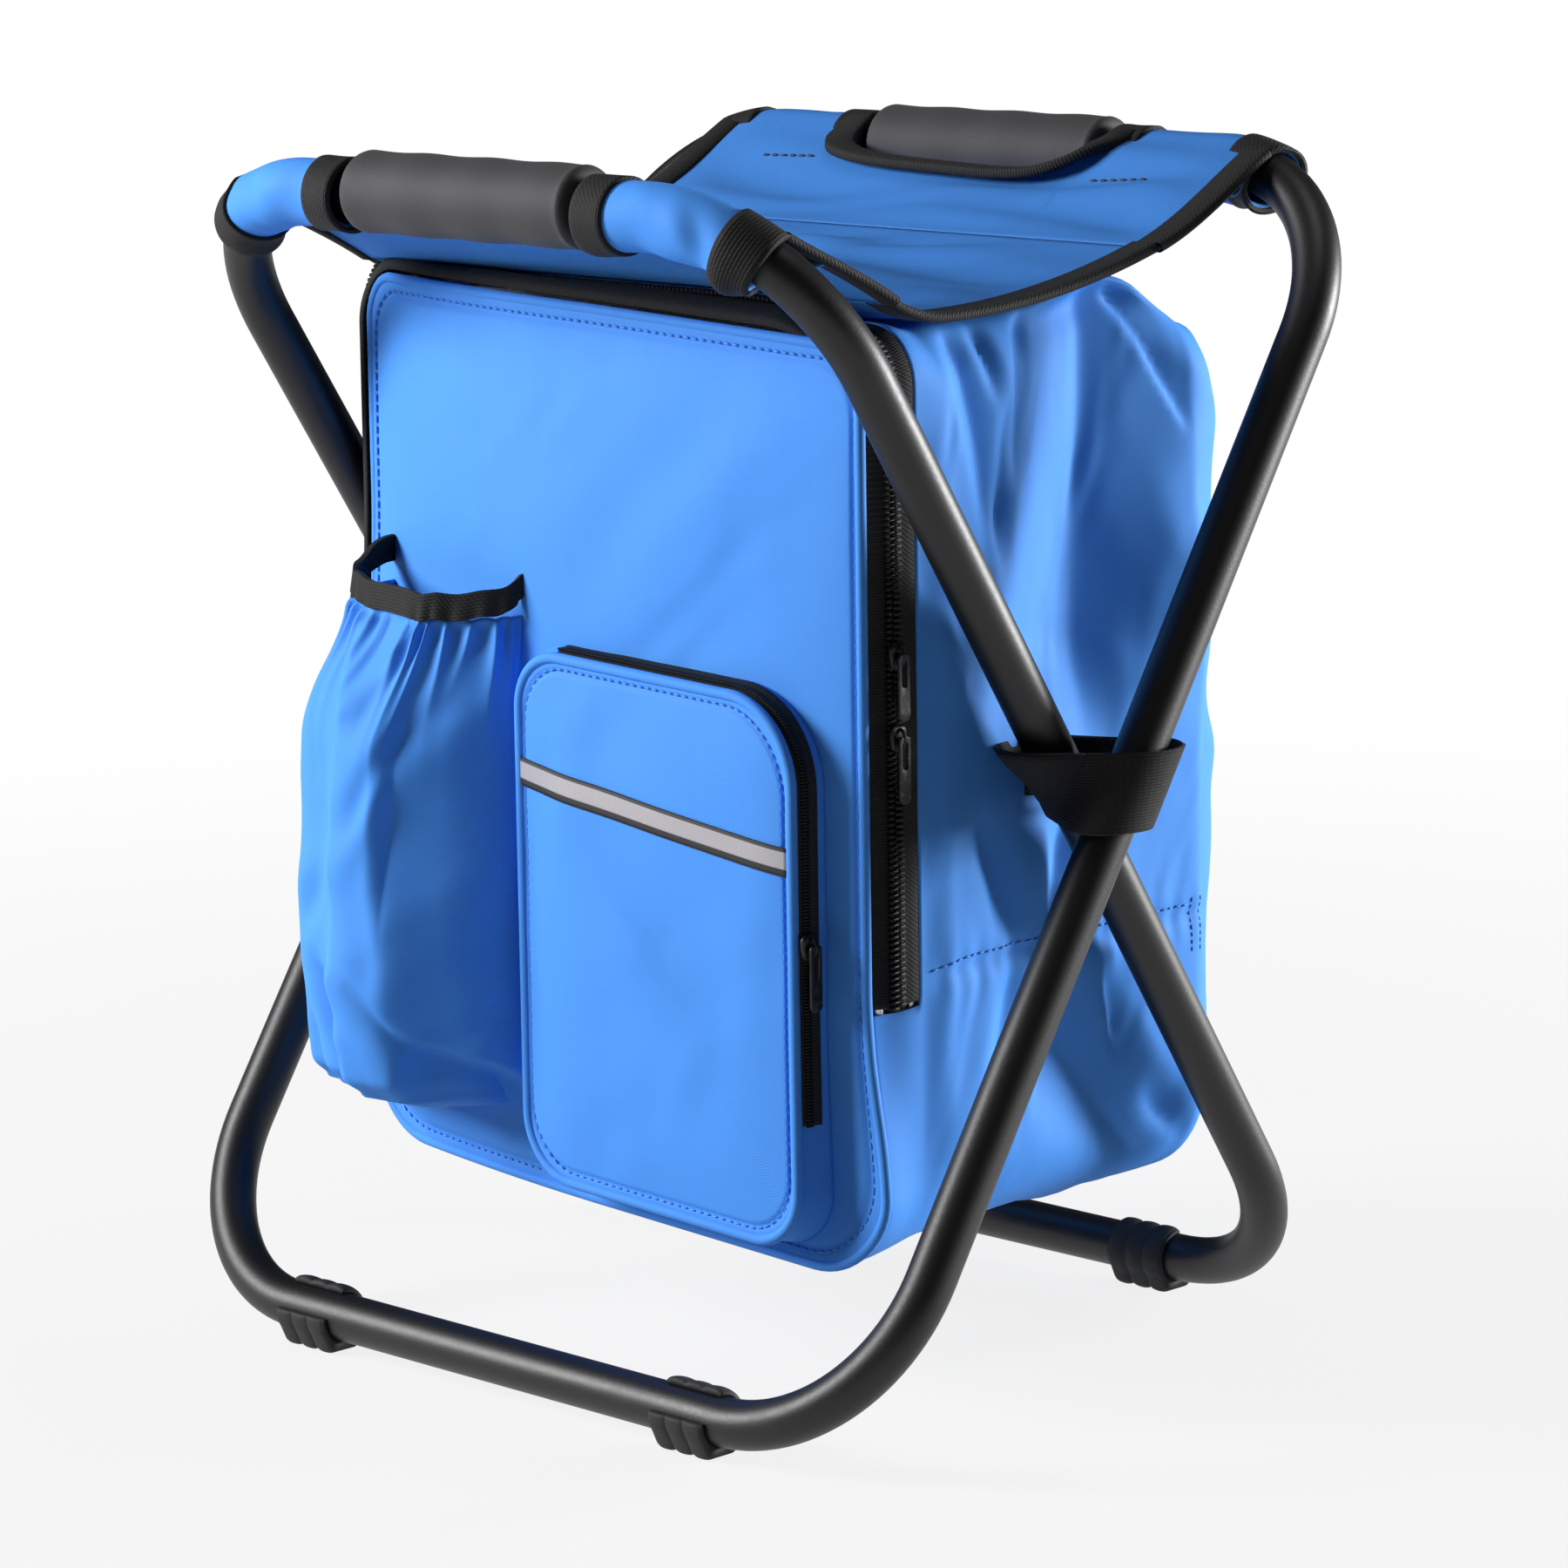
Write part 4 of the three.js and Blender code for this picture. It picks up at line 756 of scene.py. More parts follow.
bend = np.radians(np.linspace(0, 90, 18)[1:])
straight = np.linspace(SHELL_FRONT, BACK_START, SHELL_ROWS)
stations = np.concatenate([straight, BACK_START + (SHELL_BACK - BACK_START) * np.sin(bend)])
inset = np.concatenate([np.zeros(SHELL_ROWS), BACK_ROUND * (1 - np.cos(bend))])
corners = (LOW_R, HIGH_R, HIGH_R, LOW_R)
shell = []
for y, draw_in in zip(stations, inset):
    radii = [max(r - 0.3 * draw_in, 0.008) for r in corners]
    shell.append(bag_ring(draw_in, y, radii, SHELL_POINTS, 0.6))
shell = np.array(shell)
centre = np.array([0.0, 0.0, (BAG_LOW + BAG_TOP) / 2])
inward = np.linspace(1, 0, 20)[1:, None, None]
back = centre + (shell[-1:] - centre) * np.array([1, 0, 1]) * inward + np.array([0, 1, 0]) * stations[-1]
back[..., 1] += BACK_CROWN * (1 - inward[..., 0] ** 2.5)
shell = np.concatenate([shell, back])
x, y, z = (shell[..., k].copy() for k in range(3))
slack = np.where(x > 0, side_folds(y, z, FOLD_SEEDS[1]), side_folds(y, z, FOLD_SEEDS[-1]))
x += np.sign(x) * ease(BAG_HALF - 0.012, BAG_HALF - 0.001, np.abs(x)) * slack
y += ease(0.079, SHELL_BACK - 0.0005, y) * back_slack(x, z)
under = ease(BAG_LOW + 0.004, BAG_LOW, z)
z -= under * (0.002 * (1 - (x / BAG_HALF) ** 2)) - under * crumple(x, y, 0.05, 0.0008, 15)
shell = np.stack([x, y, z], -1)
low_run = np.flatnonzero(np.roll(shell[0, :, 2] < ZIP_LOW, SHELL_POINTS // 2))
low_run = (low_run - SHELL_POINTS // 2) % SHELL_POINTS
forward = np.linspace(GUSSET_FRONT - SHELL_FRONT, 0, 7)[:, None, None] * np.array([0, 1, 0])
gusset = shell[0][low_run][None] + forward
body = build("bag_body", blue, grid(settle(hung(shell)), False, True), grid(settle(hung(gusset))),
             merge=1e-6, thickness=CLOTH_THICK)
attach(body, "bag")
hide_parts("bag_shell")

navy_thread = sewing_thread("blue_thread", (0.045, 0.20, 0.60), (0.06, 0.26, 0.74), 0.55)
for hand, way in HANDS:
    y = np.linspace(SHELL_FRONT + 0.004, 0.072, 120)
    z = np.full(120, SIDE_SEAM_Z + 0.0035)
    x = way * (BAG_HALF + side_folds(y, z, FOLD_SEEDS[way]) + 0.0002)
    line = settle(np.stack([x, y, z], 1))
    sewn = [stitches(f"side_seam_{hand}", navy_thread, line, (way, 0, 0), 0.0034, 0.0024, 0.0004)]
    z = np.linspace(TACK_LOW, TACK_HIGH, 24)
    for k, y in enumerate(TACKS_Y):
        past = max(y - BACK_START, 0) / (SHELL_BACK - BACK_START)
        round_off = BACK_ROUND * (1 - math.sqrt(1 - past**2))
        x = way * (BAG_HALF - round_off + side_folds(np.full(24, y), z, FOLD_SEEDS[way]))
        line = np.stack([x, np.full(24, y), z], 1)
        sewn.append(stitches(f"side_tack_{hand}_{k}", navy_thread, line, (way, 0, 0), 0.0024, 0.0016, 0.0004))
    for piece in sewn:
        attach(piece, "bag")


# Front panel: padded blue cloth with a piped edge, one piece from the bottom to the top.
# Its upper part folds forward as the flap once the zip is open; here the panel is built in one piece,
# unfolded.
PANEL_HALF = 0.1246
PANEL_TOP = 0.3500
PANEL_EDGE = -0.0735
PANEL_CROWN = 0.0078
PANEL_MIDDLE = np.array([0.0, 0.205])
PANEL_TALL = 0.148
PANEL_CORNERS = (0.029, 0.016, 0.016, 0.029)
PANEL_POINTS = 360
PIPE_R = 0.0018
PANEL_THICK = 0.0018
PIPE_BACK = 0.0006
PANEL_GROOVE, GROOVE_AT, GROOVE_WIDE = 0.0010, 0.965, 0.008
PANEL_SEAM = 0.972


def panel_face(x, z):
    """The panel's front: crowned towards its middle, with soft dents."""
    u = np.clip(np.abs(x) / PANEL_HALF, 0, 1)
    v = np.clip(np.abs(z - PANEL_MIDDLE[1]) / PANEL_TALL, 0, 1)
    crown = (1 - u**3.2) * (1 - v**3.6)
    y = PANEL_EDGE - PANEL_CROWN * crown
    return y + crown * (crumple(x, z, 0.13, 0.0005, 42) + crumple(x, z, 0.05, 0.00012, 47))


def upright(flat, y):
    """Points of a drawing in x and z, stood at a depth y."""
    return np.stack(np.broadcast_arrays(flat[..., 0], y, flat[..., 1]), -1)


def fan(middle, outline, shares):
    """Rings from a middle at share 0 to an outline at share 1."""
    return middle + (outline[None] - middle) * shares[:, None, None]


edge = rounded(-PANEL_HALF, PANEL_HALF, BAG_LOW - 0.001, PANEL_TOP, PANEL_CORNERS, PANEL_POINTS)
edge[:, 0] += 0.0030 * ease(-0.100, -PANEL_HALF, edge[:, 0]) * ease(0.15, 0.24, edge[:, 1])
scale = np.concatenate([np.linspace(0, 0.9, 62), np.linspace(0.9, 1.0, 16)[1:]])
flat = fan(PANEL_MIDDLE, edge, scale)
face = upright(flat, panel_face(flat[..., 0], flat[..., 1]))
face[..., 1] += PANEL_GROOVE * np.exp(-(((scale - GROOVE_AT) / GROOVE_WIDE) ** 2))[:, None]
cover = build("front_cover", blue, grid(settle(hung(face)), False, True),
              merge=1e-6, thickness=PANEL_THICK)
pipe_line = settle(hung(upright(edge, PANEL_EDGE + PIPE_BACK)))
piping = build("front_piping", blue, grid(sweep(pipe_line, circle(PIPE_R, 14), (0, 1, 0), True), True, True))
inner = PANEL_MIDDLE + (edge - PANEL_MIDDLE) * PANEL_SEAM
seam_line = upright(inner, panel_face(inner[:, 0], inner[:, 1]) + 0.0002)
pale_thread = sewing_thread("pale_thread", (0.062, 0.275, 0.82), (0.074, 0.320, 0.93), 0.55)
seam = stitches("front_stitch", pale_thread, settle(hung(seam_line)), (0, -1, 0), 0.0036, 0.0025, 0.0004)
for part in (cover, piping, seam):
    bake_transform(part)
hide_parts("front_panel_cover", "front_flap_cover")


# Cooler lining: foil laminated to foam, standing inside the shell and turned out to the zip.
# The front panel and flap have the same lining on their inner face.
LINING_FRONT, LINING_BACK = -0.0555, 0.074
LINING_MIDDLE = np.array([0.0, 0.0, 0.204])
LINING_POINTS = 200
FRONT_LINING_Y = -0.0665
QUILT = 0.022

foil = Look("foil_liner", Metallic=0.85, IOR=1.5)
quilt_u, quilt_v = foil.across()
quilt = (quilt_u * (TURN / QUILT)).sine() * (quilt_v * (TURN / QUILT)).sine()
dents = foil.noise(70.0, 6.0)
foil.feed(Base_Color=foil.mix(dents, (0.62, 0.64, 0.66), (0.78, 0.79, 0.8)), Roughness=0.24 + 0.2 * dents)
foil.relief(dents * 0.8 + quilt * 0.25, 0.0012, 0.5)


def lining_ring(draw_in, y):
    """The bag's outline drawn in by the foam, its corners tighter by half as much."""
    return bag_ring(draw_in, y, [r - 0.5 * draw_in for r in corners], LINING_POINTS)


depths = np.linspace(LINING_FRONT, LINING_BACK, 40)
outer = [lining_ring(0.0195 - 0.0175 * ease(-0.030, -0.055, y), y) for y in depths]
inner = [lining_ring(0.0235 - 0.0195 * ease(-0.030, LINING_FRONT, y), y) for y in depths]
wall = np.array(outer[::-1] + inner)
close = np.linspace(0, 1, 18)[:-1, None, None]
far = [LINING_MIDDLE + (wall[k] - LINING_MIDDLE) * np.array([1, 0, 1]) * close for k in (0, -1)]
far[0][..., 1] += wall[0, 0, 1] + 0.004
far[1][..., 1] += wall[-1, 0, 1]
tub = np.concatenate([far[0], wall, far[1][::-1]])
tub[..., 1] -= 0.002 * crumple(tub[..., 0], tub[..., 2], 0.05, 1.0, 77) * ease(0.06, LINING_BACK, tub[..., 1])
lining = build("bag_lining", foil, grid(settle(hung(tub)), False, True), merge=1e-6)
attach(lining, "bag")
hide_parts("bag_insulation", "bag_liner")

inner_edge = (edge - PANEL_MIDDLE) * np.array([0.952, 0.96]) + PANEL_MIDDLE
flat = fan(PANEL_MIDDLE, inner_edge, np.linspace(0, 1, 50))
inside = upright(flat, FRONT_LINING_Y + crumple(flat[..., 0], flat[..., 1], 0.05, 0.0006, 71))
inside[-1, :, 1] -= 0.003
front_lining = build("front_lining", foil, grid(settle(hung(inside)), False, True),
                     merge=1e-6, thickness=0.004, offset=1)
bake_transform(front_lining)
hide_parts("front_panel_foam", "front_flap_foam", "front_panel_liner", "front_flap_liner")


# Main zip: black tape down both sides and over the top, parted along a row of coil teeth.
# The front tape is sewn to the panel; the rear tape is sewn to the shell.
TEETH_Y = -0.0627
TEETH_PITCH = 0.0019
TEETH_APART = 0.0011
ZIP_ARCH = 0.0068

zip_cloth = tape("zip_tape", (0.0065, 0.0065, 0.007), 0.0009, 0.72)
coil = grained("zip_coil", (900.0, 3.0), (0.004, 0.004, 0.0045), (0.012, 0.012, 0.013), 0.45, 0.2,
               Specular_IOR_Level=0.2)


def studs(name, look, places, long, wide, high):
    """Small blocks with narrower tops, each set at a place by its three half-axis vectors."""
    corner = np.array([(-1, -1), (1, -1), (1, 1), (-1, 1)])
    layers = []
    for rise, size in ((-1, 1.0), (0.35, 1.0), (1, 0.55)):
        flat = long[:, None] * corner[:, :1] * size + wide[:, None] * corner[:, 1:] * size
        layers.append(places[:, None] + flat + high[:, None] * rise)
    c = np.arange(12).reshape(3, 4)
    quads = [(c[a, b], c[a, b - 3], c[a + 1, b - 3], c[a + 1, b]) for a in range(2) for b in range(4)]
    faces = np.array([*quads, c[0][::-1], c[2]])
    every = np.concatenate([faces + 12 * k for k in range(len(places))])
    return build(name, look, (np.stack(layers, 1).reshape(-1, 3), every, np.zeros((every.size, 2))))


def outwards(line):
    """The direction off a line in x and z, to the right of its travel."""
    return unit(np.stack([np.gradient(line[:, 1]), -np.gradient(line[:, 0])], 1))


whole = rounded(-BAG_HALF, BAG_HALF, BAG_LOW, BAG_TOP, corners, 1600)
track = resample(whole[whole[:, 1] >= ZIP_LOW], 360)


def zip_point(y, lift, arch):
    """The zip's track at a depth y, lifted off the shell's outline and arched over the top and the left."""
    return upright(track + outwards(track) * (lift + arch * ease(0.108, 0.080, track[:, :1])), y)


# Each tape's cross-section from front to back: the depth, the lift and the arch of each of its lines.
bands = {
    "front": [(-0.0728, -0.0006, 0.0036), (-0.0715, 0.0, 0.0060), (-0.0680, -0.0004, 0.0070),
              (-0.0650, 0.0, 0.0068), (TEETH_Y - 0.0004, 0.0004, ZIP_ARCH)],
    "rear": [(TEETH_Y + 0.0004, 0.0004, ZIP_ARCH), (-0.0604, 0.0, 0.0030), (-0.0570, -0.0004, 0.0012),
             (-0.0540, -0.0001, 0.0), (-0.0518, -0.0010, 0.0)],
}
for odd, (part, profile) in enumerate(bands.items()):
    band = np.stack([zip_point(*at) for at in profile], 1)
    cloth = build(f"zip_tape_{part}", zip_cloth, grid(settle(hung(band))), thickness=0.0009)
    row = zip_point(TEETH_Y + (-TEETH_APART, TEETH_APART)[odd], 0.0010, ZIP_ARCH)
    count = int(travel(row)[-1] / TEETH_PITCH)
    spots = resample(settle(hung(row)), 2 * count)[odd::2]
    ahead = heading(spots, False)
    depth = np.tile([0.0, 1.0, 0.0], (len(spots), 1))
    high = unit(np.cross(ahead, depth))
    teeth = studs(f"zip_teeth_{part}", coil, spots, depth * 0.0016, ahead * 0.00052, high * 0.0009)
    for piece in (cloth, teeth):
        if part == "front":
            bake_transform(piece)
        else:
            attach(piece, "bag")
    front_tapes = ("zip_tape_flap", "zip_tape_panel_right", "zip_tape_panel_left")
    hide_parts(*(front_tapes if part == "front" else ("zip_tape_shell",)))


# Zip pocket: a flat blue pocket on the front panel, piped round its face, with a grey strip.
# A short zip in its gusset frees the upper right corner, which folds out along the diagonal; here the pocket
# is built closed, unfolded.
POCKET_LEFT, POCKET_RIGHT = -0.0215, 0.1031
POCKET_LOW, POCKET_TOP = 0.0650, 0.2390
POCKET_FACE = -0.0884
POCKET_ZIP_X, POCKET_ZIP_Z = -0.0045, 0.105
POCKET_FLARE = 0.0036
POCKET_TEETH_Y = -0.0845
STRIP_LOW, STRIP_HIGH = 0.1920, 0.2012
STRIP_SLANT = 0.080
POCKET_CORNERS = (0.019, 0.027, 0.019, 0.021)
POCKET_POINTS = 320
POCKET_CROWN = 0.0030
CORD_R, CORD_BACK = 0.0019, 0.0004
POCKET_GROOVE, POCKET_GROOVE_AT, POCKET_GROOVE_WIDE = 0.0008, 0.955, 0.009
POCKET_SEAM = np.array([0.945, 0.962])
BEAD_PITCH = 0.0016

rim = rounded(POCKET_LEFT, POCKET_RIGHT, POCKET_LOW, POCKET_TOP, POCKET_CORNERS, POCKET_POINTS)
heart = np.array([(POCKET_LEFT + POCKET_RIGHT) / 2, (POCKET_LOW + POCKET_TOP) / 2])


def pocket_face(x, z):
    """The pocket's face: slightly crowned and softly dented."""
    u = np.clip(np.abs(x - heart[0]) / (POCKET_RIGHT - heart[0]), 0, 1)
    v = np.clip(np.abs(z - heart[1]) / (POCKET_TOP - heart[1]), 0, 1)
    crown = (1 - u**4) * (1 - v**4)
    return POCKET_FACE - POCKET_CROWN * crown + crown * crumple(x, z, 0.06, 0.0004, 52)


scale = np.concatenate([np.linspace(0, 0.92, 46), np.linspace(0.92, 1, 12)[1:]])
flat = fan(heart, rim, scale)
face = upright(flat, pocket_face(flat[..., 0], flat[..., 1]))
groove = np.exp(-(((scale - POCKET_GROOVE_AT) / POCKET_GROOVE_WIDE) ** 2))
face[..., 1] += POCKET_GROOVE * groove[:, None]
pocket = build("pocket_cover", blue, grid(settle(face), False, True), merge=1e-6, thickness=0.0014)
cord_line = settle(upright(rim, POCKET_FACE + CORD_BACK))
cord_skin = sweep(cord_line, circle(CORD_R, 12), (0, 1, 0), True)
cord = build("pocket_piping", blue, grid(cord_skin, True, True))
inner = heart + (rim - heart) * POCKET_SEAM
seam_line = upright(inner, pocket_face(inner[:, 0], inner[:, 1]) + 0.0001)
seam_line = settle(np.concatenate([seam_line, seam_line[:1]]))
sew = stitches("pocket_stitch", pale_thread, seam_line, (0, -1, 0), 0.0034, 0.0024, 0.00036)

silver = Look("reflector", Metallic=0.15)
u, v = silver.across()
beads = (((u + v) * (TURN / BEAD_PITCH)).sine() * ((u - v) * (TURN / BEAD_PITCH)).sine()).ramp(-0.3, 0.5)
bare = v.ramp(0.0022, 0.0026) * (1 - v.ramp(0.0077, 0.0081))
grey = silver.mix(beads, (0.36, 0.345, 0.37), (0.48, 0.46, 0.49))
silver.feed(Base_Color=silver.mix(bare, (0.012, 0.012, 0.014), grey))
silver.feed(Roughness=0.62 - 0.25 * bare + 0.05 * beads)
silver.relief(beads * 0.5 + bare, 0.0001, 0.5)
x = np.linspace(POCKET_LEFT + 0.0012, POCKET_RIGHT - 0.0012, 90)
z = np.linspace(STRIP_LOW, STRIP_HIGH, 9)[:, None] - 0.002 - STRIP_SLANT * (x - heart[0])[None]
sheet = np.stack(np.broadcast_arrays(x[None], pocket_face(x[None], z) - 0.0005, z), -1)
strip = build("pocket_strip", silver, grid(settle(sheet)), thickness=0.0005, offset=0)
across_fold = np.array([POCKET_ZIP_Z - POCKET_TOP, 0, POCKET_ZIP_X - POCKET_RIGHT])
across_fold = -across_fold / np.linalg.norm(across_fold)
for part in (pocket, cord, sew, strip):
    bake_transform(part)
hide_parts("pocket_front", "pocket_corner_flap")
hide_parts("reflective_strip_left", "reflective_strip_right")

reach = np.linspace(0, 1, 9)[:, None]
root = panel_face(rim[:, 0], rim[:, 1]) + 0.0004
ahead = heading(rim, True)
swell = rim + np.stack([ahead[:, 1], -ahead[:, 0]], 1) * POCKET_FLARE * reach[..., None]
wall = upright(swell, (POCKET_FACE + 0.0006) * (1 - reach) + root * reach)
gusset = build("pocket_wall", blue, grid(settle(wall), False, True), thickness=0.0012)
path = np.roll(rim, -(POCKET_POINTS // 16), 0)
on_top = (path[:, 1] > POCKET_TOP - 0.03) & (path[:, 0] > POCKET_ZIP_X)
on_side = (path[:, 0] > POCKET_RIGHT - 0.001) & (path[:, 1] > POCKET_ZIP_Z)
path = resample(path[on_top | on_side], 150)


def pocket_zip_point(y, lift):
    """The pocket zip's track at a depth y, lifted off the rim."""
    return upright(path + outwards(path) * lift, y)


profile = [(-0.0880, 0.0002), (-0.0872, 0.0010), (-0.0842, 0.0022), (-0.0812, 0.0033), (-0.0800, 0.0032)]
band = np.stack([pocket_zip_point(y, lift) for y, lift in profile], 1)
zip_band = build("pocket_zip", zip_cloth, grid(settle(band)), thickness=0.0007, offset=0)
row = resample(settle(pocket_zip_point(POCKET_TEETH_Y, 0.0025)), 220)
ahead = heading(row, False)
depth = np.tile([0.0, 1.0, 0.0], (len(row), 1))
high = unit(np.cross(ahead, depth))
teeth = studs("pocket_teeth", coil, row, depth * 0.0014, ahead * 0.00035, high * 0.0005)
for part, slot in ((gusset, "blue_cloth"), (zip_band, "zip_tape"), (teeth, "zip_metal")):
    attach(part, "bag")
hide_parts("pocket_gusset")
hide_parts("pocket_zip_tape")


# Bottle pocket: a full pouch of blue cloth sewn to the panel, drawn in by an elastic rim.
# The gathers run down from the rim and die out in a belly, with a tucked floor below.
POUCH_LEFT, POUCH_RIGHT = -0.1190, -0.0265
POUCH_LOW, POUCH_TOP = 0.0815, 0.2490
POUCH_BELLY = 0.047
POUCH_SEWN = 0.0012
POUCH_FOOT = 0.004
NECK_LEFT = 0.015
PLAN_LEFT, PLAN_FRONT, PLAN_RIGHT = 0.42, 0.13, 0.70
CHEST_IN, NECK_IN, FOOT_IN, FLOOR_IN = 0.004, 0.0185, 0.004, 0.007
FOOT_SLANT, FOOT_DROP = 0.009, 0.003
TUCK_AT, TUCK_WAY = (0.074, 0.046), (0.54, 0.84)
TUCK_LIP, TUCK_DEEP, TUCK_RUN = 0.0040, 0.0150, 0.062
POUCH_ROUND, POUCH_TALL = 0.155, 0.165
RIM_HIGH, RIM_DIP, RIM_ENDS = 0.0088, 0.003, 0.0065
RIM_LEAN, RIM_OUT, RIM_WAVE = 0.0012, 0.0008, 0.0004
PLEATS = 19
PLEAT_STRAY, PLEAT_LEAN, PLEAT_BELL = 0.2, 0.6, 1.4
PLEAT_FADE, PLEAT_HIGH = (0.012, 0.030), (0.0034, 0.0054)
PLEAT_WIDE, PLEAT_SPREAD = 0.011, 0.24
NECK_TIGHT, NECK_FADE = 0.0026, 0.016
fine = np.linspace(0, math.pi, 600)
lap = travel(np.stack([-np.sign(np.cos(fine)) * np.abs(np.cos(fine)) ** 0.6, np.sin(fine) ** 0.6], 1))
GIRTH = (fine / math.pi, lap / lap[-1])

# The pouch's folds, each by its two ends round it and up it, then its height, widths and fade.
# A hollow at the left, ridges that meet below the rim, a hollow at the right, and creases at the foot.
POUCH_FOLDS = (
    ((0.057, 0.122), (0.060, 0.010), -0.0044, 0.012, 0.010, 0.016, 2.0),
    ((0.074, 0.128), (0.074, 0.040), 0.0030, 0.006, 0.014, 0.014),
    ((0.056, 0.162), (0.073, 0.128), 0.0036, 0.006, 0.008, 0.008),
    ((0.090, 0.162), (0.074, 0.130), 0.0034, 0.007, 0.007, 0.008),
    ((0.108, 0.140), (0.102, 0.070), -0.0030, 0.010, 0.012, 0.018),
    ((0.052, 0.040), (0.068, 0.004), -0.0046, 0.007, 0.007, 0.010),
    ((0.044, 0.024), (0.050, 0.000), -0.0030, 0.005, 0.005, 0.008),
    ((0.070, 0.026), (0.074, 0.000), 0.0032, 0.004, 0.005, 0.008),
)


def gathers(around, below):
    """Pleats under the elastic: seeded bells that lean, widen and die out downwards, over a drawn-in neck."""
    draw = np.random.default_rng(9)
    total = 0
    for k in range(PLEATS):
        spot = (k + 0.5 + draw.uniform(-PLEAT_STRAY, PLEAT_STRAY)) / PLEATS
        fade = draw.uniform(*PLEAT_FADE)
        lean = draw.uniform(-PLEAT_LEAN, PLEAT_LEAN)
        off = np.abs(around - spot - lean * below) / (PLEAT_WIDE + PLEAT_SPREAD * below)
        bell = np.exp(-(off**PLEAT_BELL)), np.exp(-((below / fade) ** PLEAT_BELL))
        total = total + draw.uniform(*PLEAT_HIGH) * bell[0] * bell[1]
    return (total - NECK_TIGHT * np.exp(-below / NECK_FADE)) * ease(-0.001, 0.004, below)


def pouch(u, v, slack=1.0):
    """A pouch: squarish in plan on the left and slanting on the right, deepest at its belly.

    Its folds stand off it along its outward direction, and its foot is tucked under along a slant.
    """
    left = POUCH_LEFT + NECK_LEFT * ease(0.70, 1.0, v)
    middle, half = (left + POUCH_RIGHT) / 2, (POUCH_RIGHT - left) / 2
    angle = math.pi * u
    power = PLAN_LEFT + PLAN_FRONT * ease(0.22, 0.46, u) + PLAN_RIGHT * ease(0.46, 0.76, u)
    depth = POUCH_BELLY - CHEST_IN * ease(0.40, 0.80, v) - NECK_IN * ease(0.70, 1.02, v)
    depth = depth - FOOT_IN * ease(0.25, 0.0, v) - FLOOR_IN * ease(0.06, 0.0, v) ** 2
    swell = np.sin(angle) ** power
    x = middle - half * np.sign(np.cos(angle)) * np.abs(np.cos(angle)) ** power
    z = POUCH_LOW + (POUCH_TOP - POUCH_LOW) * v
    z = z - np.sin(angle) * RIM_DIP * ease(0.8, 1.0, v) + (FOOT_SLANT * u - FOOT_DROP) * ease(0.3, 0.0, v)
    y = panel_face(x, np.clip(z, BAG_LOW, BAG_TOP)) + POUCH_SEWN - depth * swell
    around = np.interp(u, *GIRTH)
    nx, ny = -np.cos(angle) / half, -np.sin(angle) / depth
    size = np.hypot(nx, ny)
    a, b = around * POUCH_ROUND, v * POUCH_TALL
    fold = gathers(around, (1 - v) * (POUCH_TOP - POUCH_LOW))
    fold = fold + sum(crease(a, b, *line) for line in POUCH_FOLDS)
    past = TUCK_WAY[0] * (a - TUCK_AT[0]) + TUCK_WAY[1] * (b - TUCK_AT[1])
    under = ease(0.0025, -0.0035, past) * ease(0.064, 0.075, a)
    fold = fold + under * (TUCK_LIP - TUCK_DEEP * np.clip((a - TUCK_AT[0]) / TUCK_RUN, 0, 1))
    fold = fold + crumple(a, b, 0.045, 0.0006, 63) * np.sin(angle)
    fold = slack * fold * np.clip(np.sin(angle) * 2.5, 0, 1)
    return np.stack([x + fold * nx / size, y + fold * ny / size, z], -1)


u = np.linspace(0, 1, 190)
skin = pouch(*np.meshgrid(u, np.linspace(0, 1, 120)))
low_edge = skin[0]
root = low_edge.copy()
root[:, 1] = panel_face(root[:, 0], root[:, 2]) + POUCH_SEWN
tuck = np.linspace(0, 1, 14)[:-1, None, None]
base = root + (low_edge - root) * tuck
base[..., 2] -= POUCH_FOOT * np.sin(math.pi * tuck[..., 0])
skin = np.concatenate([base, skin])
pocket = build("bottle_pouch", blue, grid(settle(skin)), merge=1e-6, thickness=CLOTH_THICK)
rim = []
for k in np.linspace(0, 1, 8):
    row = pouch(u, np.ones(len(u)), 0.0)
    row[:, 2] += RIM_HIGH * k + RIM_WAVE * np.sin(TURN * u * 6.5) + RIM_ENDS * np.abs(2 * u - 1) ** 5
    row[:, 1] += RIM_LEAN * k - RIM_OUT + RIM_WAVE * np.sin(TURN * u * 13) * (1 - k)
    rim.append(row)
elastic = build("bottle_rim", binding, grid(settle(np.array(rim))), thickness=0.0022, offset=0, bevel=0.0006)
for part, slot in ((pocket, "blue_cloth"), (elastic, "black_webbing")):
    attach(part, "bag")
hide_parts("bottle_pocket")
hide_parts("bottle_pocket_elastic")


# Crossing loops: black webbing wrapped round both legs where they cross, so the bag hangs steady.
# Each is sewn to a patch on the bag's side, and each of its two halves wraps round one leg.
LOOP_LOW, LOOP_HIGH = -0.0090, 0.0150
LEG_INSET = 0.0008
WEB_THICK = 0.0016
INNER_SLACK, OUTER_SLACK = 0.0055, 0.0026
PATCH_OUT = 0.1292
PATCH_FRONT, PATCH_BACK, PATCH_Y = -0.0045, 0.0155, 0.0055
PATCH_THICK = 0.0014

webbing = tape("black_webbing", (0.0085, 0.0082, 0.009), 0.0013, 0.75, 0.0003)


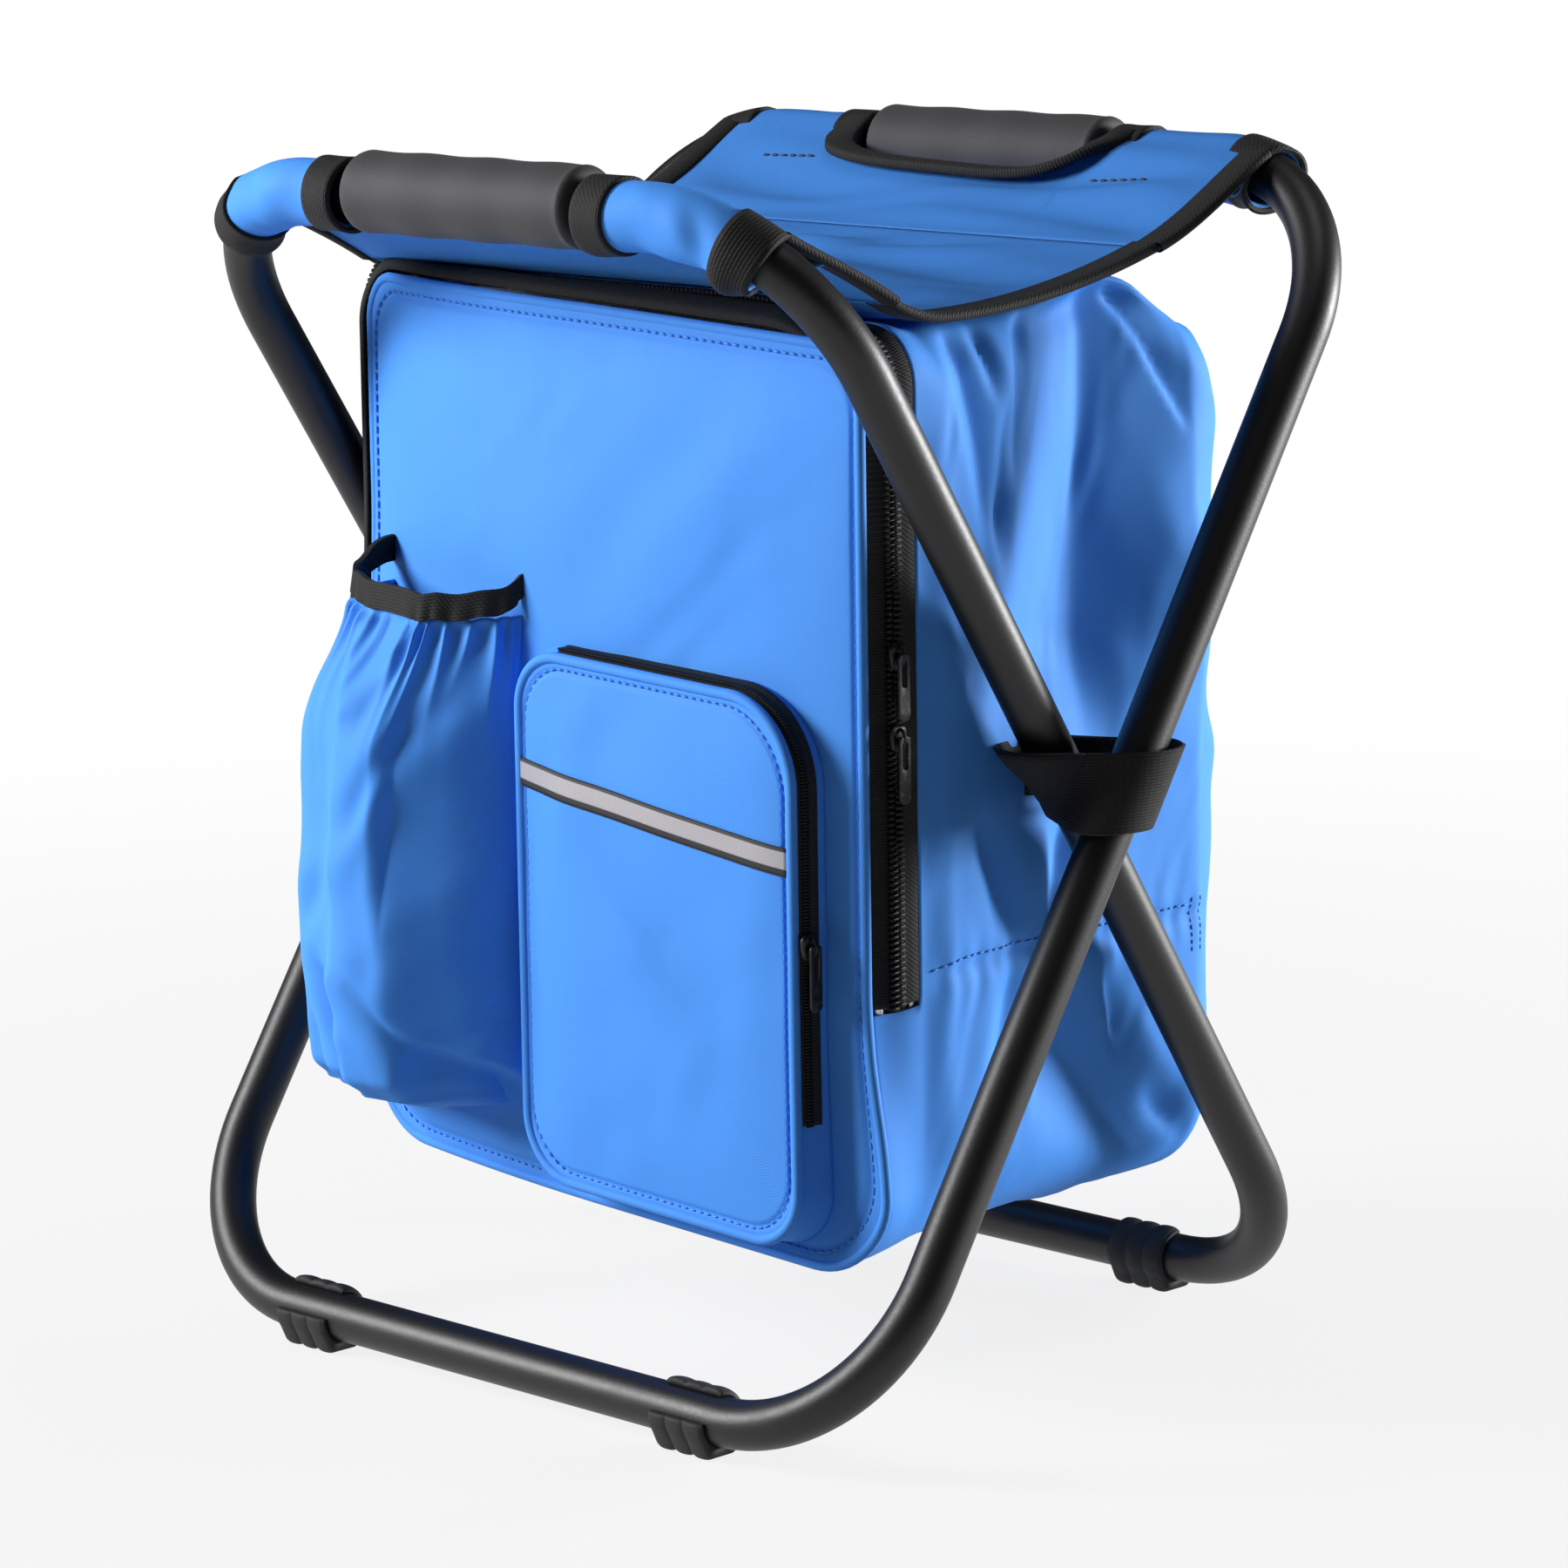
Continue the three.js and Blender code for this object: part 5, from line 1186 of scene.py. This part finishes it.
def belt(rise, part, way):
    """Half of a belt round two leaning legs: a straight run, half a turn, and a straight run back."""
    lean = rise * SIN
    legs = {"inner": np.array([INNER_HALF, -lean]), "outer": np.array([OUTER_HALF, lean])}
    half = (legs["inner"] + legs["outer"]) / 2
    ahead = unit(legs[part] - half)
    side = np.array([-ahead[1], ahead[0]])
    slack = {"inner": INNER_SLACK * ease(-0.004, LOOP_HIGH, rise), "outer": OUTER_SLACK}
    close = TUBE_R + WEB_THICK + (slack["inner"] + slack["outer"]) / 2
    radius = TUBE_R + WEB_THICK + slack[part]
    turn = np.linspace(0, math.pi, 25)[:, None]
    run = np.linspace(0, 1, 8)[:-1, None]
    round_leg = legs[part] + radius * (side * np.cos(turn) + ahead * np.sin(turn))
    near, far = half + side * close, half - side * close
    there, back = near + (round_leg[0] - near) * run, far + (round_leg[-1] - far) * run[::-1]
    flat = np.concatenate([there, round_leg, back])
    return np.stack([way * flat[:, 0], flat[:, 1] / COS, np.full(len(flat), PIVOT_Z + rise)], 1)


for hand, way in HANDS:
    for part in ("inner", "outer"):
        rows = np.array([belt(rise, part, way) for rise in np.linspace(LOOP_LOW, LOOP_HIGH, 12)])
        half_loop = build(f"loop_{part}_{hand}", webbing, grid(rows), thickness=WEB_THICK, offset=0)
        leg_x = way * (INNER_HALF + LEG_INSET if part == "inner" else OUTER_HALF - LEG_INSET)
        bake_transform(half_loop)
        if part == "inner":
            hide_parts(f"crossing_loop_{hand}")
    y, rise = np.meshgrid(np.linspace(PATCH_FRONT, PATCH_BACK, 30), np.linspace(0, 1, 16))
    z = PIVOT_Z + 0.4 * LOOP_LOW * (1 - rise) + (LOOP_HIGH + 0.003 - 0.35 * y) * rise
    x = BAG_HALF + side_folds(y, z, FOLD_SEEDS[way]) + 0.0005
    x = x + (PATCH_OUT - x) * ease(0.0100, 0.004, np.abs(y - PATCH_Y))
    skin = grid(np.stack([way * x, y, z], -1))
    patch = build(f"loop_patch_{hand}", webbing, skin, thickness=PATCH_THICK, offset=0)
    sewn = []
    for k, column in enumerate((2, -3)):
        line = np.stack([way * (x + 0.0008), y, z], -1)[:, column]
        sewn.append(stitches(f"loop_stitch_{hand}_{k}", thread, line, (way, 0, 0), 0.003, 0.002))
    for piece in (patch, *sewn):
        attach(piece, "bag")


# Sliders and pulls: two on the main zip, side by side on the right, and one on the pocket.
# Each slider is a die-cast body with a bail, and its flat pull hangs from the bail.
SLIDER_LONG, SLIDER_WIDE, SLIDER_DEEP = 0.0045, 0.0035, 0.0012
SLIDER_TAPER = 0.0008
BAIL_R, BAIL_LONG, BAIL_HIGH = 0.0006, 0.0030, 0.0024
TAB_HALF, TAB_LOW, TAB_HIGH = 0.0025, -0.0205, 0.0010
SLOT_HALF, SLOT_LOW, SLOT_HIGH = 0.0011, -0.0095, -0.0008
MAIN_SLIDERS = (("upper", 0.2553), ("lower", 0.2293))
POCKET_SLIDER_Z = 0.163
MAIN_LIFT, POCKET_LIFT = 0.0024, 0.0036
BAIL_OUT, TAB_OUT, TAB_THICK = 0.0008, 0.0029, 0.0010

cast = Look("zip_metal", Metallic=0.6)
wear = cast.noise(500.0, 4.0)
cast.feed(Base_Color=cast.mix(wear.ramp(0.5, 0.75), (0.012, 0.012, 0.014), (0.05, 0.05, 0.055)))
cast.feed(Roughness=0.3 + 0.25 * wear)


def squared(angle, power):
    """A squarish round: the cosine and sine of an angle, each raised to a power with its sign kept."""
    return (np.sign(f) * np.abs(f) ** power for f in (np.cos(angle), np.sin(angle)))


def slider(name, body, place, pull_body):
    """A slider facing +X with its pull.

    The body is a tapered block with rounded ends, under an arched bail; the pull is a tab with a slot.
    """
    share = np.linspace(-1, 1, 21)[:, None]
    plump = np.clip(1 - np.abs(share) ** 5, 0, 1) ** 0.5
    wide = (SLIDER_WIDE - SLIDER_TAPER * (share < 0) * np.abs(share)) * plump
    sx, sy = squared(np.arange(20) * TURN / 20, 0.5)
    skin = np.stack(np.broadcast_arrays(SLIDER_DEEP * plump * sx, wide * sy, SLIDER_LONG * share), -1)
    arch = np.radians(np.linspace(0, 180, 17))
    bail = np.stack([BAIL_OUT + BAIL_HIGH * np.sin(arch), np.zeros(17), BAIL_LONG * np.cos(arch)], 1)
    bail = sweep(bail, circle(BAIL_R, 8), (0, 1, 0))
    block = build(name, cast, grid(place + skin, False, True), grid(place + bail, False, True), merge=1e-6)
    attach(block, body)
    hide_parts(body)
    outer = rounded(-TAB_HALF, TAB_HALF, TAB_LOW, TAB_HIGH, (0.0022, 0.0012, 0.0012, 0.0022), 60)
    slot = rounded(-SLOT_HALF, SLOT_HALF, SLOT_LOW, SLOT_HIGH, (0.001,) * 4, 60)
    rows = fan(outer, slot, np.linspace(0, 1, 5))
    tab = place + np.stack([np.full(rows.shape[:2], TAB_OUT), rows[..., 0], rows[..., 1]], -1)
    pull = build(f"{pull_body}_tab", cast, grid(tab, False, True),
                 thickness=TAB_THICK, offset=0, bevel=0.0003)
    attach(pull, pull_body)
    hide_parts(pull_body)


for level, z in MAIN_SLIDERS:
    place = settle(np.array([BAG_HALF + MAIN_LIFT, TEETH_Y, z]))
    slider(f"zip_slider_{level}", f"main_slider_{level}", place, f"main_pull_{level}")
place = settle(np.array([POCKET_RIGHT + POCKET_LIFT, POCKET_TEETH_Y, POCKET_SLIDER_Z]))
slider("zip_slider_pocket", "pocket_slider", place, "pocket_pull")


# Shoulder straps: padded cloth sewn to the top of the back, swelling over foam, edged with tape.
# Webbing runs on from each pad through a plastic slide to the bottom of the back.
PAD_LOW, PAD_HIGH = 0.1677, 0.3327
PAD_HALF = 0.0215
PAD_DEEP = 0.0034
PAD_TOP_X, PAD_LOW_X = 0.048, 0.082
WEB_LOW, WEB_HALF = 0.071, 0.0125
SLIDE_Z, SLIDE_HALF, SLIDE_TALL = 0.1564, 0.0155, 0.0095
PAD_OFF, WEB_OFF, WEB_RISE, SLIDE_OFF = 0.0030, 0.0020, 0.0024, 0.0046
PAD_VOXEL, PAD_CAP = 0.0045, 0.005
TRIM_WIDE, TRIM_DEEP = 0.0026, 0.0022
SLIDE_RIM, SLIDE_ROD, ROD_LEVELS = 0.0018, 0.0016, (-0.0025, 0.0030)
STRAP_WEB_THICK = 0.0014

pad_cloth = oxford("pad_cloth", (0.012, 0.012, 0.014), (0.008, 0.008, 0.0095), 0.0011, 0.6, 0.0002)
pad_cloth.relief(pad_cloth.noise(900.0, 2.0), 0.0003, 0.5)


def back_face(x, z):
    """The outside of the back panel, fuller towards its middle."""
    wide, tall = BAG_HALF - BACK_ROUND, centre[2] - BAG_LOW - BACK_ROUND
    share = np.maximum(np.abs(x) / wide, np.abs(z - centre[2]) / tall)
    return SHELL_BACK + BACK_CROWN * (1 - np.clip(share, 0, 1) ** 2.5) + back_slack(x, z)


def pad_line(z):
    """The middle of a strap: close to the middle above and further out below."""
    return PAD_TOP_X + (PAD_LOW_X - PAD_TOP_X) * ease(PAD_HIGH, PAD_LOW, z)


def swell(piece, voxel, cap):
    """Stuffing: the piece is remeshed and blown up as cloth under pressure.

    Each point then moves as the cloth did, no further than a cap and little along the back.
    """
    scene = bpy.context.scene
    remesh = piece.modifiers.new("remesh", "REMESH")
    remesh.mode, remesh.voxel_size = "VOXEL", voxel
    even = bpy.data.meshes.new_from_object(piece.evaluated_get(bpy.context.evaluated_depsgraph_get()))
    piece.modifiers.clear()
    piece.data = even
    rest = np.zeros(len(even.vertices) * 3)
    even.vertices.foreach_get("co", rest)
    cloth = piece.modifiers.new("cloth", "CLOTH")
    cloth.settings.use_pressure, cloth.settings.uniform_pressure_force = True, 4.0
    cloth.settings.effector_weights.gravity = 0.0
    for step in range(1, 21):
        scene.frame_set(step)
    blown = piece.evaluated_get(bpy.context.evaluated_depsgraph_get()).to_mesh()
    now = np.zeros(len(rest))
    blown.vertices.foreach_get("co", now)
    piece.modifiers.clear()
    scene.frame_set(1)
    move = (now - rest).reshape(-1, 3) * np.array([0.15, 1.0, 0.15])
    size = np.linalg.norm(move, axis=1, keepdims=True)
    even.vertices.foreach_set("co", rest + (move * np.minimum(1, cap / np.maximum(size, 1e-9))).ravel())
    even.polygons.foreach_set("use_smooth", np.ones(len(even.polygons), bool))
    even.update()
    smooth = piece.modifiers.new("smooth", "SUBSURF")
    smooth.levels = smooth.render_levels = 1


for hand, way in HANDS:
    share = np.linspace(0, 1, 46)[:, None]
    z = PAD_LOW + 0.002 + (PAD_HIGH - PAD_LOW - 0.004) * share
    ends = np.sqrt(np.clip(1 - np.abs(2 * share - 1) ** 9, 0, 1))
    sx, sy = squared(np.arange(28) * TURN / 28, 0.55)
    x = way * pad_line(z)
    y = back_face(x, z) + PAD_DEEP + PAD_OFF
    x, y = x + (PAD_HALF + 0.0008) * ends * sx, y + PAD_DEEP * ends * sy
    skin = np.stack(np.broadcast_arrays(x, y, z), -1)
    pad = build(f"pad_{hand}", pad_cloth, grid(hung(skin), False, True), merge=1e-6)
    swell(pad, PAD_VOXEL, PAD_CAP)
    around = np.concatenate([skin[:, 0], skin[::-1, 14]])
    around = resample(around + (around.mean(0) - around) * 0.02, 160, closed=True)
    lip = circle(1.0, 14) * np.array([TRIM_WIDE, TRIM_DEEP])
    trim = build(f"pad_trim_{hand}", binding, grid(sweep(hung(around), lip, (0, 1, 0), True), True, True))
    z = np.linspace(WEB_LOW, PAD_LOW + 0.006, 60)[:, None]
    x = way * pad_line(np.maximum(z, PAD_LOW)) + way * 0.005 * ease(0.145, WEB_LOW, z)
    x = x + np.linspace(-WEB_HALF, WEB_HALF, 9)
    y = back_face(x, z) + WEB_OFF + WEB_RISE * ease(0.135, 0.158, z)
    ribbon = np.stack(np.broadcast_arrays(x, y, z), -1)
    web = build(f"web_{hand}", webbing, grid(hung(ribbon)), thickness=STRAP_WEB_THICK, offset=0)
    tack = ribbon[3] + np.array([0, 0.0008, 0])
    tacks = stitches(f"web_tack_{hand}", thread, hung(tack), (0, 1, 0), 0.0026, 0.0018)
    hub = np.array([way * PAD_LOW_X, back_face(way * PAD_LOW_X, SLIDE_Z) + SLIDE_OFF, SLIDE_Z])
    ring = hub + upright(rounded(-SLIDE_HALF, SLIDE_HALF, -SLIDE_TALL, SLIDE_TALL, (0.003,) * 4, 80), 0.0)
    frame_parts = [grid(sweep(hung(ring), circle(SLIDE_RIM, 12), (0, 1, 0), True), True, True)]
    for level in ROD_LEVELS:
        rod = hub + np.linspace((-SLIDE_HALF, 0.0008, level), (SLIDE_HALF, 0.0008, level), 9)
        frame_parts.append(grid(sweep(hung(rod), circle(SLIDE_ROD, 10), (0, 1, 0)), False, True))
    slide = build(f"slide_{hand}", plastic, *frame_parts)
    for piece, slot in ((pad, "pad_cloth"), (trim, "black_webbing"), (web, "black_webbing"),
                        (tacks, "black_webbing"), (slide, "black_plastic")):
        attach(piece, "bag")
    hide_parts(f"strap_pad_{hand}")
    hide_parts(f"strap_web_{hand}")
    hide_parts(f"strap_adjuster_{hand}")


# Stage: a pale floor under soft studio light, and the camera at the photograph's angle.
# The floor looks white to the camera and in mirrors, and the world to the camera alone.
# Three soft boxes give the object most of its light.
VIEW_TURN = math.radians(45.17)
VIEW_RISE = math.radians(9.889)
VIEW_ROLL = math.radians(0.88)
VIEW_AWAY = 1.9668
FOCAL = 6766.6
CENTRE_X, CENTRE_Y = 30.54, -82.56
IMAGE = 1800
SENSOR = 36.0
VIEW_AT = np.array([0, 0, 0.21])
FLOOR_NEAR, FLOOR_FAR = 0.35, 1.3
FLOOR_WHITE = 0.84
FLOOR_HALF, FLOOR_Z = 6, -0.0004
WORLD_LIGHT = 0.045
right = np.array([math.cos(VIEW_TURN), math.sin(VIEW_TURN), 0])
level = np.array([math.sin(VIEW_TURN), -math.cos(VIEW_TURN), 0])
back = level * math.cos(VIEW_RISE) + np.array([0, 0, math.sin(VIEW_RISE)])
up = np.cross(back, right)
eye = VIEW_AT + back * VIEW_AWAY
c, s = math.cos(VIEW_ROLL), math.sin(VIEW_ROLL)
ax, ay = CENTRE_X * c + CENTRE_Y * s, -CENTRE_X * s + CENTRE_Y * c
aim = unit(right * ax / FOCAL + up * ay / FOCAL - back)
tilted = unit(right * s + up * c)
across = unit(np.cross(aim, tilted))
camera_data = bpy.data.cameras.new("camera")
camera_data.sensor_width = SENSOR
camera_data.lens = FOCAL / IMAGE * SENSOR
camera_data.clip_end = 50.0
camera = bpy.data.objects.new("camera", camera_data)
bpy.context.scene.collection.objects.link(camera)
axes = np.stack([across, np.cross(across, aim), -aim], 1)
camera.matrix_world = Matrix.Translation(Vector(eye)) @ Matrix(axes.tolist()).to_4x4()
bpy.context.scene.camera = camera

floor_look = Look("floor", Roughness=0.9)
mottle = floor_look.noise(6.0, 3.0)
floor_look.feed(Base_Color=floor_look.mix(mottle, (0.42, 0.42, 0.42), (0.46, 0.46, 0.46)))
nodes, links = floor_look.tree.nodes, floor_look.tree.links
rays = ("Camera", "Glossy", "Transmission")
direct, mirrored, through = (floor_look.node("LightPath", output=f"Is {ray} Ray") for ray in rays)
plain = direct + mirrored + through
glow = nodes.new("ShaderNodeEmission")
glow.inputs["Strength"].default_value = 1.0
blend = nodes.new("ShaderNodeMixShader")
apart = floor_look.node("VectorMath", {0: floor_look.place()}, output="Value", operation="LENGTH")
white = FLOOR_WHITE + (1 - FLOOR_WHITE) * apart.ramp(FLOOR_NEAR, FLOOR_FAR)
floor_look.plug(blend.inputs[0], plain * white)
links.new(floor_look.shader.outputs[0], blend.inputs[1])
links.new(glow.outputs[0], blend.inputs[2])
links.new(blend.outputs[0], nodes["Material Output"].inputs[0])
reach = np.linspace(-FLOOR_HALF, FLOOR_HALF, 5)
spread = np.stack(np.meshgrid(reach, reach), -1)
floor = build("floor", floor_look, grid(np.concatenate([spread, np.full((5, 5, 1), FLOOR_Z)], -1)))

world = bpy.data.worlds.new("studio")
bpy.context.scene.world = world
world.use_nodes = True
tree = world.node_tree
tree.nodes.clear()
path = tree.nodes.new("ShaderNodeLightPath")
seen, lit = tree.nodes.new("ShaderNodeBackground"), tree.nodes.new("ShaderNodeBackground")
seen.inputs["Color"].default_value = (1, 1, 1, 1)
lit.inputs["Color"].default_value = (0.93, 0.96, 1.0, 1)
lit.inputs["Strength"].default_value = WORLD_LIGHT
pick = tree.nodes.new("ShaderNodeMixShader")
tree.links.new(path.outputs["Is Camera Ray"], pick.inputs[0])
tree.links.new(lit.outputs[0], pick.inputs[1])
tree.links.new(seen.outputs[0], pick.inputs[2])
tree.links.new(pick.outputs[0], tree.nodes.new("ShaderNodeOutputWorld").inputs[0])


def lamp(name, place, target, size, power):
    """A square soft box aimed at a point."""
    light = bpy.data.lights.new(name, "AREA")
    light.size, light.energy = size, power
    made = bpy.data.objects.new(name, light)
    made.location = place
    made.rotation_euler = (Vector(target) - Vector(place)).to_track_quat("-Z", "Y").to_euler()
    bpy.context.scene.collection.objects.link(made)


lamp("key", (-1.35, -1.45, 1.0), (0, 0, 0.2), 0.8, 66)
lamp("fill", (1.0, 1.62, 0.42), (0, 0, 0.2), 0.5, 58)
lamp("top", (0.3, 0.2, 2.1), (0, 0, 0.3), 0.9, 6)

bpy.context.scene.view_settings.view_transform = "Standard"
